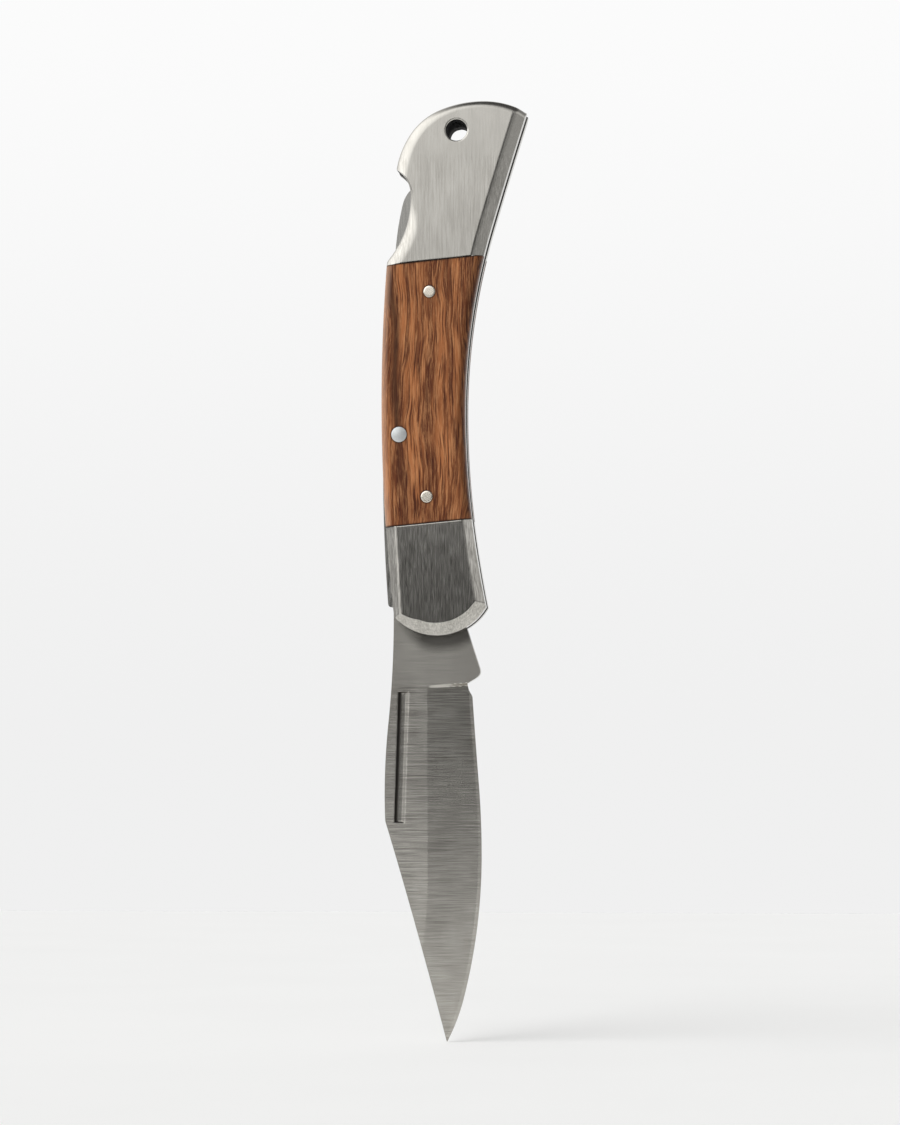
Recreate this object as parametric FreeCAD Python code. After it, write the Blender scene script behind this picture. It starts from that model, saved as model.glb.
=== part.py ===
"""Lock-back folding pocket knife, opened, with steel bolsters and wooden scales.

Units are millimetres. The knife hangs butt up and point down. The origin is the middle of the
lanyard hole, +Z points to the butt, +X to the belly (the side that the blade folds into) and
+Y from the left side, which carries the nail groove, to the right side.
Points of outlines are (x, z) in this side view.
"""

import FreeCAD
import Part
import math
import os

from FreeCAD import Vector

# Stack through the thickness, from the middle outwards
BLADE_THICKNESS = 2.4
SIDE_CLEARANCE = 0.1
LINER_THICKNESS = 1.0
COVER_THICKNESS = 3.2

# Axes that cross the handle, measured from the lanyard hole
PIVOT_SIDE = -3.5
PIVOT_DROP = 92.0
ROCKER_SIDE = -11.3
ROCKER_DROP = 60.0
UPPER_RIVET = (4.6, 2.9)
LOWER_RIVET = (-7.2, -2.6)

# Round pieces and their holes
LANYARD_DIAMETER = 4.2
PIVOT_PIN_DIAMETER = 4.0
PIVOT_PIN_RECESS = 0.02
ROCKER_PIN_DIAMETER = 3.0
SCALE_PIN_DIAMETER = 2.25
RIVET_DIAMETER = 2.0
PIN_DOME = 0.15
RUNNING_CLEARANCE = 0.05
SEAT_CLEARANCE = 0.02

# Handle outline: the butt from the lanyard hole, the crest from the rocker, the nose from the pivot
BUTT_BEAK = (-11.95, -7.4)
BUTT_ROUNDING = [(-3.3, 4.3), (-9.3, -0.6)]
BUTT_CROWN = (5.0, 5.9)
BUTT_CORNER = (13.65, 3.55)
BELLY_FLARE = (6.75, -19.0)
CREST_OUT = 3.6
CREST_RISE = 9.0
WAIST_WIDTH = 16.4
WAIST_RISE = 4.5
NOSE_BACK = (-8.85, -3.6)
NOSE_TIP = (0.2, -7.25)
NOSE_BELLY = (8.95, -1.75)
BELLY_SWELL = (5.95, 13.9)
NOTCH_BOTTOM = (-9.05, -12.8)
NOTCH_LOWER_RADIUS = 19.7

# Joints between the bolsters and the scale, where each crosses the line of the lanyard hole, the rear one
# from the hole and the front one from the pivot, and the scale pins, each set in from its joint
REAR_JOINT_DROP = 25.25
FRONT_JOINT_RISE = 15.15
JOINT_SLANT = 5.3
JOINT_GAP = 0.04
UPPER_PIN_SIDE = -5.35
UPPER_PIN_INSET = 6.15
LOWER_PIN_SIDE = -5.85
LOWER_PIN_INSET = 5.15

# Shaped edges of the covers
NOSE_BEVEL = 2.1
SIDE_BEVEL = 1.65
BACK_FLAT = -8.4
BELLY_BEVEL = 1.95
BUTT_ROUND = 1.5
SCALE_ROUND = 1.5

# Blade outline, measured from the pivot
SHOULDER = (-9.25, -4.0)
SPINE = [(-10.3, -24.5), (-10.9, -43.4)]
CLIP_MIDDLE = (-4.75, -64.4)
TIP = (1.15, -86.4)
HEEL = (6.15, -19.0)
EDGE_UPPER = (7.4, -36.2)
EDGE_WIDEST = (7.95, -50.2)
EDGE_LOWER = (4.35, -78.2)
CHOIL = [(5.45, -17.8), (5.2, -16.6)]
KICK = (8.0, -14.8)
KICK_ROUND = 0.9
NECK = (3.6, -1.0)
FOLD_ANGLE = 175.0

# Blade surfaces: ground sides, sharpened edge and nail groove
PLUNGE_DROP = 17.5
PLUNGE_RUN = 0.9
GRIND_SIDE = -2.6
GRIND_STRAIGHT = 54.5
GRIND_SWEEP = 95.0
EDGE_SHOULDER = 0.46
EDGE_LAND = 0.05
EDGE_BEVEL = 0.7
GROOVE_TOP = (-7.3, -18.2)
GROOVE_END = (-8.1, -43.8)
GROOVE_WIDTH = 2.2
GROOVE_FLOOR = 0.8
GROOVE_DEPTH = 0.45

# Lock: a cam on the tang, a notch in the cam, and the rocking bar with its hook and thumb arm
CAM_RADIUS = 6.4
CAM_END_ANGLE = 55.0
CAM_CLEARANCE = 0.2
LOCK_TRAVEL = 2.6
LOCK_SINK = 0.5
HOOK_FRONT = 1.65
HOOK_LENGTH = 2.9
HOOK_CLEARANCE = 0.25
KICK_CLEARANCE = 0.25
ROCKER_LOBE = 2.9
LOBE_SPREAD = 50.0
THUMB_SWELL = 0.75
THUMB_OUT = 0.7
THUMB_DEPTH = 4.0
REAR_END_DROP = 10.6
REAR_END_DEPTH = 3.3
LOCK_BAR_ROUND = 0.5

# Butt spacer and leaf spring
SPACER_LEDGE_DROP = 7.3
SPACER_WALL = 2.3
SPACER_ARC = (-125.0, -75.0, -25.0)
SPACER_TOP = (8.8, 8.0)
SPRING_THICKNESS = 0.9
SPRING_ROOT_SIDE = -4.0
SPRING_ROOT_DROP = 2.9
SPRING_END_DROP = 23.0
SPRING_PAD = 4.0
SPRING_CLEARANCE = 0.05

# Levels and places worked out from the sizes above
HALF_BLADE = BLADE_THICKNESS / 2
HALF_SLOT = HALF_BLADE + SIDE_CLEARANCE
LINER_FACE = HALF_SLOT + LINER_THICKNESS
COVER_FACE = LINER_FACE + COVER_THICKNESS
FAR = 400.0
OVERRUN = 1.0
RUN_ON = 4.0
SKIM = 0.05
TOLERANCE = 1e-4
UP = math.radians(90)
SIDES = {"left": -1, "right": 1}
PIVOT = (PIVOT_SIDE, -PIVOT_DROP)
ROCKER = (ROCKER_SIDE, -ROCKER_DROP)
FRONT_JOINT_DROP = PIVOT_DROP - FRONT_JOINT_RISE
RIVETS = {"upper": UPPER_RIVET, "lower": LOWER_RIVET}
SLANT = math.tan(math.radians(JOINT_SLANT))
UPPER_PIN = (UPPER_PIN_SIDE, UPPER_PIN_SIDE * SLANT - REAR_JOINT_DROP - UPPER_PIN_INSET)
LOWER_PIN = (LOWER_PIN_SIDE, LOWER_PIN_SIDE * SLANT - FRONT_JOINT_DROP + LOWER_PIN_INSET)
SCALE_PINS = {"upper": UPPER_PIN, "lower": LOWER_PIN}


# Drawing helpers

def at(point, y=0.0):
    """A point of the side view at depth y."""
    return Vector(point[0], y, point[1])


def from_pivot(point):
    return (PIVOT[0] + point[0], PIVOT[1] + point[1])


def on_circle(centre, radius, degrees):
    """A point on a circle of the side view, with 0 degrees at +X and 90 at +Z."""
    a = math.radians(degrees)
    return (centre[0] + radius * math.cos(a), centre[1] + radius * math.sin(a))


def turned(point, centre, degrees):
    """A point turned about the Y axis through centre, positive from +Z towards +X."""
    a = math.radians(degrees)
    x, z = point[0] - centre[0], point[1] - centre[1]
    return (centre[0] + x * math.cos(a) + z * math.sin(a), centre[1] - x * math.sin(a) + z * math.cos(a))


def upright_arc(start, radius, rise):
    """Where an arc that leaves start upright and bends towards -X is after going up by rise."""
    return (start[0] - radius + math.sqrt(radius ** 2 - rise ** 2), start[1] + rise)


def line(a, b):
    return Part.LineSegment(at(a), at(b)).toShape()


def lines(points):
    """Straight edges from each point to the next."""
    return [line(a, b) for a, b in zip(points, points[1:])]


def arc(a, through, b):
    return Part.Arc(at(a), at(through), at(b)).toShape()


def arc_chain(start, heading, points):
    """Arcs from point to point, each leaving in the direction in which the one before arrives. The first
    leaves in the given heading, from +X towards +Z."""
    edges = []
    for end in points:
        chord = math.atan2(end[1] - start[1], end[0] - start[0])
        half = math.dist(start, end) / 2
        bulge = half * math.tan((chord - heading) / 2)
        through = (start[0] + half * math.cos(chord) + bulge * math.sin(chord),
                   start[1] + half * math.sin(chord) - bulge * math.cos(chord))
        edges.append(arc(start, through, end))
        start, heading = end, 2 * chord - heading
    return edges


def area(edges):
    """The flat face inside a closed ring of edges."""
    return Part.Face(Part.Wire(Part.__sortEdges__(edges)))


def plate(edges, y_low, y_high):
    """The area inside a closed ring of edges, as a plate between two depths."""
    face = area(edges)
    face.translate(Vector(0, y_low, 0))
    return face.extrude(Vector(0, y_high - y_low, 0))


def rod(place, radius, y_low=-FAR, y_high=FAR):
    """A round bar along Y."""
    return Part.makeCylinder(radius, y_high - y_low, at(place, y_low), Vector(0, 1, 0))


def seat(place, diameter):
    """The hole for a pin that is fixed in the handle."""
    return rod(place, diameter / 2 + SEAT_CLEARANCE)


def without(shape, cutters):
    return shape.cut(cutters).removeSplitter().Solids[0]


def corner_edges(shape, points):
    """Edges along Y at the given points of the side view."""
    def stands_at(edge, point):
        return all(math.dist((v.X, v.Z), point) < TOLERANCE for v in edge.Vertexes)
    return [e for e in shape.Edges if any(stands_at(e, p) for p in points)]


# Handle outline, shared by the liners, the covers, the spacer and the back of the lock bar

NOSE = [from_pivot(p) for p in (NOSE_BACK, NOSE_TIP, NOSE_BELLY)]
CREST = (ROCKER[0] - CREST_OUT, ROCKER[1] + CREST_RISE)
WAIST = (CREST[0] + WAIST_WIDTH, ROCKER[1] + WAIST_RISE)
BACK = Part.Circle(at(NOSE[0]), at(CREST), at(BUTT_BEAK))


def back_at(z):
    """The point of the back, one long arc, at height z."""
    return (BACK.Center.x - math.sqrt(BACK.Radius ** 2 - (z - BACK.Center.z) ** 2), z)


def notch_foot():
    """Where the lower arc of the thumb notch meets the back, found by halving."""
    low, high = -NOTCH_LOWER_RADIUS, 0.0
    for _ in range(60):
        rise = (low + high) / 2
        x, z = upright_arc(NOTCH_BOTTOM, NOTCH_LOWER_RADIUS, rise)
        low, high = (rise, high) if x < back_at(z)[0] else (low, rise)
    return upright_arc(NOTCH_BOTTOM, NOTCH_LOWER_RADIUS, high)


NOTCH_FOOT = notch_foot()
BACK_EDGES = [arc(NOSE[0], CREST, NOTCH_FOOT)]
NOTCH_EDGES = arc_chain(NOTCH_BOTTOM, -UP, [NOTCH_FOOT]) + arc_chain(NOTCH_BOTTOM, UP, [BUTT_BEAK])
BUTT_EDGES = arc_chain(BUTT_CROWN, 2 * UP, BUTT_ROUNDING + [BUTT_BEAK])
BUTT_EDGES += arc_chain(BUTT_CROWN, 0, [BUTT_CORNER])
BELLY_EDGES = arc_chain(WAIST, UP, [BELLY_FLARE, BUTT_CORNER])
BELLY_EDGES += arc_chain(WAIST, -UP, [from_pivot(BELLY_SWELL), NOSE[2]])
NOSE_EDGES = [arc(*NOSE)]
HANDLE_EDGES = BACK_EDGES + NOTCH_EDGES + BUTT_EDGES + BELLY_EDGES + NOSE_EDGES
HANDLE_FACE = area(HANDLE_EDGES)


# Covers: bolsters and scales, each shaped along its rim and then cut off at its joints

def cover(sign):
    """One side's plate of the whole handle outline."""
    return plate(HANDLE_EDGES, *sorted((sign * LINER_FACE, sign * COVER_FACE)))


def part_of(shape, drop, above):
    """What lies on one side of a slanted joint, half the joint's gap away from it."""
    lift = JOINT_GAP / 2 if above else -JOINT_GAP / 2
    a, b = (-FAR, -drop + lift - FAR * SLANT), (FAR, -drop + lift + FAR * SLANT)
    end = FAR if above else -FAR
    return shape.common(plate(lines([a, b, (FAR, end), (-FAR, end), a]), -FAR, FAR)).Solids[0]


def bevel_section(width):
    """What a 45 degree bevel takes off a rim, as (distance in from the outline, depth below the face)."""
    corners = [(width + OVERRUN, -OVERRUN), (-OVERRUN, width + OVERRUN), (-OVERRUN, -OVERRUN)]
    return lines(corners + corners[:1])


def round_section(radius):
    """What a rounding takes off a rim. Its arc starts a little outside the metal, so that it cuts clean."""
    half = radius - radius * math.sqrt(0.5)
    side, top = (-SKIM, radius), (radius, -SKIM)
    corners = [top, (radius, -OVERRUN), (-OVERRUN, -OVERRUN), (-OVERRUN, radius), side]
    return [arc(side, (half, half), top)] + lines(corners)


def rim_cutters(edges, section, sign):
    """Cutters along a smooth stretch of the handle outline: the section, turned about the centre of each
    arc. They run on past the ends of the stretch, which mitres them with what meets them there."""
    ends = [v.Point for e in edges for v in e.Vertexes]
    cutters = []
    for edge in edges:
        circle, first, last = edge.Curve, edge.FirstParameter, edge.LastParameter
        free = [sum(edge.valueAt(t).isEqual(end, TOLERANCE) for end in ends) == 1 for t in (first, last)]
        middle = circle.value((first + last) / 2)
        just_inside = middle + (circle.Center - middle) * (SKIM / circle.Radius)
        facing = 1 if HANDLE_FACE.isInside(just_inside, TOLERANCE, False) else -1
        spare = RUN_ON / circle.Radius
        first, last = first - free[0] * spare, last + free[1] * spare
        start = circle.value(first)
        inward = (circle.Center - start) * (facing / circle.Radius)
        along = Vector(0, -sign, 0).cross(inward)
        tool = area(section)
        tool.transformShape(FreeCAD.Matrix(inward.x, along.x, 0, start.x,
                                           0, 0, -sign, sign * COVER_FACE,
                                           inward.z, along.z, 0, start.z))
        cutters.append(tool.revolve(circle.Center, circle.Axis, math.degrees(last - first)))
    return cutters


def back_flat(sign):
    """A wedge that grinds a straight flat at 45 degrees along the back of the front bolster."""
    crease, face = PIVOT[0] + BACK_FLAT, sign * COVER_FACE
    section = [(OVERRUN, OVERRUN), (-COVER_THICKNESS, OVERRUN), (-COVER_THICKNESS, -COVER_THICKNESS)]
    corners = [Vector(crease + x, face + sign * y, -FAR) for x, y in section]
    return Part.Face(Part.makePolygon(corners + corners[:1])).extrude(Vector(0, 0, 2 * FAR))


def front_bolster(sign):
    """Steel nose of the handle, bored for the pivot pin, with a flat on its back and two bevels."""
    cutters = [seat(PIVOT, PIVOT_PIN_DIAMETER), back_flat(sign)]
    cutters += rim_cutters(BELLY_EDGES, bevel_section(SIDE_BEVEL), sign)
    cutters += rim_cutters(NOSE_EDGES, bevel_section(NOSE_BEVEL), sign)
    return without(part_of(cover(sign), FRONT_JOINT_DROP, False), cutters)


def rear_bolster(sign):
    """Steel butt of the handle: a bevel along the belly, a round edge elsewhere and the lanyard hole."""
    cutters = [rod((0, 0), LANYARD_DIAMETER / 2)]
    cutters += rim_cutters(BELLY_EDGES, bevel_section(BELLY_BEVEL), sign)
    for edges in (BACK_EDGES, NOTCH_EDGES, BUTT_EDGES):
        cutters += rim_cutters(edges, round_section(BUTT_ROUND), sign)
    return without(part_of(cover(sign), REAR_JOINT_DROP, True), cutters)


def scale(sign):
    """Wooden side of the handle between the bolsters, rounded along both long edges."""
    shape = part_of(part_of(cover(sign), REAR_JOINT_DROP, False), FRONT_JOINT_DROP, True)
    cutters = [seat(place, SCALE_PIN_DIAMETER) for place in SCALE_PINS.values()]
    cutters.append(seat(ROCKER, ROCKER_PIN_DIAMETER))
    for edges in (BACK_EDGES, NOTCH_EDGES, BELLY_EDGES):
        cutters += rim_cutters(edges, round_section(SCALE_ROUND), sign)
    return without(shape, cutters)


# Frame between the covers

def liner(sign):
    """Flat steel plate of the whole handle outline, which carries one side's covers and every pin."""
    shape = plate(HANDLE_EDGES, *sorted((sign * HALF_SLOT, sign * LINER_FACE)))
    holes = [rod((0, 0), LANYARD_DIAMETER / 2)]
    holes += [seat(PIVOT, PIVOT_PIN_DIAMETER), seat(ROCKER, ROCKER_PIN_DIAMETER)]
    holes += [seat(place, SCALE_PIN_DIAMETER) for place in SCALE_PINS.values()]
    holes += [seat(place, RIVET_DIAMETER) for place in RIVETS.values()]
    return without(shape, holes)


def butt_spacer():
    """Steel block between the liners: it fills the butt above a ledge, round the lanyard hole and up to the
    top, clear of the folded tip, and has a slot for the spring's root."""
    ring = [on_circle((0, 0), LANYARD_DIAMETER / 2 + SPACER_WALL, degrees) for degrees in SPACER_ARC]
    ledge = (ring[0][0], -SPACER_LEDGE_DROP)
    outside = [ring[2], SPACER_TOP, (-FAR, SPACER_TOP[1]), (-FAR, ledge[1]), ledge, ring[0]]
    region = plate([arc(*ring)] + lines(outside), -FAR, FAR)
    half = SPRING_THICKNESS / 2 + SEAT_CLEARANCE
    left, right = SPRING_ROOT_SIDE - half, SPRING_ROOT_SIDE + half
    low, high = -FAR, -SPRING_ROOT_DROP + SEAT_CLEARANCE
    slot = plate(lines([(left, low), (right, low), (right, high), (left, high), (left, low)]), -FAR, FAR)
    holes = [rod((0, 0), LANYARD_DIAMETER / 2)] + [seat(place, RIVET_DIAMETER) for place in RIVETS.values()]
    return without(plate(HANDLE_EDGES, -HALF_SLOT, HALF_SLOT).common(region), holes + [slot])


# Lock bar, drawn locked and then turned to where it rests, and its spring

HOOK_LIFT = (PIVOT_DROP - ROCKER_DROP) * math.tan(math.radians(LOCK_TRAVEL))
HOOK_TIP = PIVOT[0] - (CAM_RADIUS + CAM_CLEARANCE - HOOK_LIFT)
HOOK_END = PIVOT[1] - HOOK_FRONT
HOOK_REAR = HOOK_END + HOOK_LENGTH


def lock_back_at(z):
    """The back of the locked bar: the handle's back, sunk a little at the hook."""
    return turned(back_at(z), ROCKER, -LOCK_SINK)


def spring_pad_at(z):
    """The inner side of the locked bar's thumb arm, where the spring bears."""
    x, z = lock_back_at(z)
    return (x + THUMB_DEPTH, z)


def lock_bar():
    """Rocking bar on the back of the handle, with a hook for the tang and a bare arm in the thumb notch."""
    arm_start, arm_end = lock_back_at(NOTCH_FOOT[1]), lock_back_at(-REAR_END_DROP)
    swell = lock_back_at((arm_start[1] + arm_end[1]) / 2)
    rear_back = (arm_end[0] - THUMB_OUT, arm_end[1])
    front_back = lock_back_at(HOOK_END)
    hook_root = (HOOK_TIP - HOOK_LIFT - HOOK_CLEARANCE, HOOK_REAR)
    kick_seat = turned(from_pivot(KICK), PIVOT, -FOLD_ANGLE)
    lobe = [on_circle(ROCKER, ROCKER_LOBE, degrees) for degrees in (LOBE_SPREAD, 0, -LOBE_SPREAD)]
    rear_in = (rear_back[0] + REAR_END_DEPTH, rear_back[1])
    pad = [spring_pad_at(-SPRING_END_DROP + side * SPRING_PAD / 2) for side in (1, -1)]
    front = [lobe[2], (kick_seat[0] - KICK_CLEARANCE, kick_seat[1]), hook_root, (HOOK_TIP, HOOK_REAR),
             (HOOK_TIP, front_back[1]), front_back]
    edges = [arc(front_back, lock_back_at(ROCKER[1]), arm_start),
             arc(arm_start, (swell[0] - THUMB_SWELL, swell[1]), rear_back)]
    edges += lines([rear_back, rear_in] + pad + [lobe[0]]) + [arc(*lobe)] + lines(front)
    shape = plate(edges, -HALF_BLADE, HALF_BLADE)
    shape = shape.makeFillet(LOCK_BAR_ROUND, corner_edges(shape, [front_back, rear_back, rear_in]))
    shape = without(shape, [rod(ROCKER, ROCKER_PIN_DIAMETER / 2 + RUNNING_CLEARANCE)])
    shape.rotate(at(ROCKER), Vector(0, 1, 0), LOCK_TRAVEL)
    return shape


def lock_spring():
    """Bent leaf of spring steel: its root sits in the spacer and its end bears on the thumb arm."""
    touch = turned(spring_pad_at(-SPRING_END_DROP), ROCKER, LOCK_TRAVEL)
    bend_z = -SPACER_LEDGE_DROP
    fall = touch[1] - bend_z
    sweep = SPRING_ROOT_SIDE - touch[0] - SPRING_CLEARANCE - SPRING_THICKNESS / 2
    radius = (sweep ** 2 + fall ** 2) / (2 * sweep)
    sides = []
    for offset in (-SPRING_THICKNESS / 2, SPRING_THICKNESS / 2):
        root = (SPRING_ROOT_SIDE + offset, -SPRING_ROOT_DROP)
        bend = (root[0], bend_z)
        sides.append([root, bend, upright_arc(bend, radius, fall / 2), upright_arc(bend, radius, fall)])
    (root_a, bend_a, half_a, end_a), (root_b, bend_b, half_b, end_b) = sides
    edges = lines([bend_a, root_a, root_b, bend_b]) + [line(end_a, end_b)]
    edges += [arc(bend_a, half_a, end_a), arc(bend_b, half_b, end_b)]
    return plate(edges, -HALF_BLADE, HALF_BLADE)


# Blade

def tang_lines():
    """The tang's outline from the heel to the shoulder: choil, kick, neck, cam and the hook's notch."""
    shoulder_z = HOOK_END - HOOK_CLEARANCE
    notch_x, notch_top = HOOK_TIP + HOOK_CLEARANCE, HOOK_REAR + HOOK_CLEARANCE
    cam_start = (PIVOT[0] - math.sqrt(CAM_RADIUS ** 2 - (notch_top - PIVOT[1]) ** 2), notch_top)
    cam_end = on_circle(PIVOT, CAM_RADIUS, CAM_END_ANGLE)
    shoulder = from_pivot(SHOULDER)
    heel, hollow, choil, kick, neck = [from_pivot(p) for p in [HEEL] + CHOIL + [KICK, NECK]]
    edges = [arc(heel, hollow, choil), arc(cam_end, on_circle(PIVOT, CAM_RADIUS, 90), cam_start)]
    edges += lines([choil, kick, neck, cam_end])
    notch = [cam_start, (notch_x, notch_top), (notch_x, shoulder_z)]
    return edges + lines(notch + [(shoulder[0], shoulder_z), shoulder])


def edge_arcs():
    """The cutting edge: arcs up to the heel and down to the point from where the blade is widest."""
    upper, heel, lower, tip = [from_pivot(p) for p in (EDGE_UPPER, HEEL, EDGE_LOWER, TIP)]
    widest = from_pivot(EDGE_WIDEST)
    return arc_chain(widest, UP, [upper, heel]) + arc_chain(widest, -UP, [lower, tip])


def edge_at(z):
    """The cutting edge at height z. The top and bottom arcs run on past the heel and the point."""
    arcs = edge_arcs()
    arcs.sort(key=lambda e: -max(v.Z for v in e.Vertexes))
    for edge in arcs:
        if z > min(v.Z for v in edge.Vertexes):
            break
    centre, radius = edge.Curve.Center, edge.Curve.Radius
    side = 1 if centre.x < edge.Vertexes[0].X else -1
    return centre.x + side * math.sqrt(radius ** 2 - (z - centre.z) ** 2)


def grind_at(z):
    """The grind line at height z: straight, then an arc that sweeps out over the clip."""
    straight_end = from_pivot((GRIND_SIDE, -GRIND_STRAIGHT))
    return upright_arc(straight_end, GRIND_SWEEP, min(0.0, z - straight_end[1]))[0]


def bevel(stations, sign):
    """A cutter for one side of the blade. At each height a line runs from the bevel's top to its foot, each
    given as (x, half thickness), and everything outside that line is cut off."""
    rings = []
    for z, top, foot in stations:
        ring = [Vector(top[0], sign * top[1], z), Vector(foot[0], sign * foot[1], z),
                Vector(foot[0], sign * BLADE_THICKNESS, z), Vector(top[0], sign * BLADE_THICKNESS, z)]
        rings.append(Part.makePolygon(ring + ring[:1]))
    return Part.makeLoft(rings, True)


def plunge(station, sign):
    """The sloping end of the ground side: a flat from its first line up to the tang's side."""
    z, top, foot = station
    rise = PLUNGE_RUN * (BLADE_THICKNESS - foot[1]) / (HALF_BLADE - foot[1])
    ring = [Vector(foot[0], sign * y, height) for y, height in
            ((foot[1], z), (BLADE_THICKNESS, z + rise), (BLADE_THICKNESS, z))]
    along = Vector(top[0] - foot[0], sign * (top[1] - foot[1]), 0)
    return Part.Face(Part.makePolygon(ring + ring[:1])).extrude(along)


def stretched(z, top, foot):
    """A station whose line runs on past both its ends, so that the cut is clean."""
    drop = EDGE_BEVEL * (foot[1] - top[1]) / (foot[0] - top[0])
    return (z, (top[0] - EDGE_BEVEL, top[1] - drop), (foot[0] + EDGE_BEVEL, foot[1] + drop))


def past(before, last):
    """One more station, as far past the last one as that is from the one before, in a straight line."""
    def onward(a, b):
        return tuple(2 * q - p for p, q in zip(a, b))
    return (2 * last[0] - before[0], onward(before[1], last[1]), onward(before[2], last[2]))


def blade_cutters(sign):
    """Ground side, its plunge and the sharpened edge, for one side."""
    heights = [PIVOT[1] - PLUNGE_DROP]
    heights += [from_pivot(p)[1] for p in (EDGE_UPPER, EDGE_WIDEST, EDGE_LOWER, TIP)]
    heights += [(a + b) / 2 for a, b in zip(heights, heights[1:])]
    ground, sharp = [], []
    for z in sorted(heights, reverse=True):
        top, foot = (grind_at(z), HALF_BLADE), (edge_at(z), EDGE_SHOULDER / 2)
        share = EDGE_BEVEL / (foot[0] - top[0])
        shoulder = (foot[0] - EDGE_BEVEL, foot[1] + share * (top[1] - foot[1]))
        ground.append(stretched(z, top, foot))
        sharp.append(stretched(z, shoulder, (foot[0], EDGE_LAND / 2)))
    for stations in (ground, sharp):
        stations.append(past(*stations[-2:]))
    return [bevel(ground, sign), plunge(ground[0], sign), bevel(sharp, sign)]


def nail_groove():
    """The long pull near the spine on the left side: a straight groove with sloping walls."""
    top, end = from_pivot(GROOVE_TOP), from_pivot(GROOVE_END)
    run = (GROOVE_WIDTH - GROOVE_FLOOR) / 2
    floor, lip = GROOVE_FLOOR / 2, GROOVE_WIDTH / 2 + run
    corners = [(-lip, -GROOVE_DEPTH), (lip, -GROOVE_DEPTH), (floor, GROOVE_DEPTH), (-floor, GROOVE_DEPTH)]
    ring = [Vector(top[0] + x, y - HALF_BLADE, top[1]) for x, y in corners]
    return Part.Face(Part.makePolygon(ring + ring[:1])).extrude(at(end) - at(top))


def blade():
    """Clip-point blade: flat tang, ground sides, a sharpened edge and a nail groove."""
    spine = [from_pivot(p) for p in SPINE]
    edges = arc_chain(from_pivot(SHOULDER), -UP, spine) + edge_arcs() + tang_lines()
    edges.append(arc(spine[-1], from_pivot(CLIP_MIDDLE), from_pivot(TIP)))
    shape = plate(edges, -HALF_BLADE, HALF_BLADE)
    shape = shape.makeFillet(KICK_ROUND, corner_edges(shape, [from_pivot(KICK)]))
    cutters = [rod(PIVOT, PIVOT_PIN_DIAMETER / 2 + RUNNING_CLEARANCE), nail_groove()]
    for sign in SIDES.values():
        cutters += blade_cutters(sign)
    return without(shape, cutters)


# Pins

def dome(place, radius, sign):
    """A low dome on a pin's end at one cover's face."""
    ball = (radius ** 2 + PIN_DOME ** 2) / (2 * PIN_DOME)
    centre = at(place, sign * (COVER_FACE + PIN_DOME - ball))
    outside = rod(place, radius, *sorted((sign * COVER_FACE, sign * FAR)))
    return Part.makeSphere(ball, centre).common(outside)


def scale_pin(sign, place):
    """Short pin through one liner and its scale, level with both, so that the blade passes inside."""
    return rod(place, SCALE_PIN_DIAMETER / 2, *sorted((sign * HALF_SLOT, sign * COVER_FACE)))


def rocker_pin():
    """Pin that the lock bar rocks on, headed on both scales."""
    radius = ROCKER_PIN_DIAMETER / 2
    heads = [dome(ROCKER, radius, sign) for sign in SIDES.values()]
    return rod(ROCKER, radius, -COVER_FACE, COVER_FACE).fuse(heads)


def pivot_pin():
    """Pin that the blade turns on, ground off level with the bolsters."""
    reach = COVER_FACE - PIVOT_PIN_RECESS
    return rod(PIVOT, PIVOT_PIN_DIAMETER / 2, -reach, reach)


def rivet(place):
    """Rivet through the liners and the spacer, under the rear bolsters."""
    return rod(place, RIVET_DIAMETER / 2, -LINER_FACE, LINER_FACE)


# Assembly

def knife():
    """Every piece by name, where it sits with the blade open."""
    pieces = {"blade": blade(), "lock_bar": lock_bar(), "lock_spring": lock_spring(),
              "butt_spacer": butt_spacer(), "pivot_pin": pivot_pin(), "rocker_pin": rocker_pin()}
    for level, place in RIVETS.items():
        pieces[f"butt_rivet_{level}"] = rivet(place)
    for side, sign in SIDES.items():
        pieces[f"liner_{side}"] = liner(sign)
        pieces[f"front_bolster_{side}"] = front_bolster(sign)
        pieces[f"rear_bolster_{side}"] = rear_bolster(sign)
        pieces[f"scale_{side}"] = scale(sign)
        for level, place in SCALE_PINS.items():
            pieces[f"scale_pin_{side}_{level}"] = scale_pin(sign, place)
    return pieces


os.makedirs("parts", exist_ok=True)
for name, shape in knife().items():
    shape.exportStep(os.path.join("parts", name + ".step"))
    print(name, round(shape.Volume, 1), len(shape.Solids), shape.isValid())
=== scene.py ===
import math

import bpy
import numpy as np
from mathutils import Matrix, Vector


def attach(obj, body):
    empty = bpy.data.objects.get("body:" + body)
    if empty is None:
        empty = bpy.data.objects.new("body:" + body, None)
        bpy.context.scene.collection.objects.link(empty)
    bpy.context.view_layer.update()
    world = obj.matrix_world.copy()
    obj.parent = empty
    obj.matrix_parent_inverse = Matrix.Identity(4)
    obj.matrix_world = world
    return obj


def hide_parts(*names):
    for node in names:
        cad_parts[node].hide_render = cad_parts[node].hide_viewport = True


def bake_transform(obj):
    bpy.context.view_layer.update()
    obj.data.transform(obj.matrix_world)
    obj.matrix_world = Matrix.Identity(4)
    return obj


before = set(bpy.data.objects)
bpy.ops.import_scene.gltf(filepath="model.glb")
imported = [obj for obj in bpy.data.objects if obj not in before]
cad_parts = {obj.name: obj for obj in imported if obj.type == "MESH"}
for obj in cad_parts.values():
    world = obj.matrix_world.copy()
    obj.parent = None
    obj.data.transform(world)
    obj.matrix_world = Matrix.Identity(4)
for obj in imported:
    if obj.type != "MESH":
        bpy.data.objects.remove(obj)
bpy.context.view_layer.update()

# Lock-back folding pocket knife, opened and standing on its point. Lengths are in millimetres, and points
# of outlines are (x, z) in the side view. The left side is the near one, towards -Y.


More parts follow.
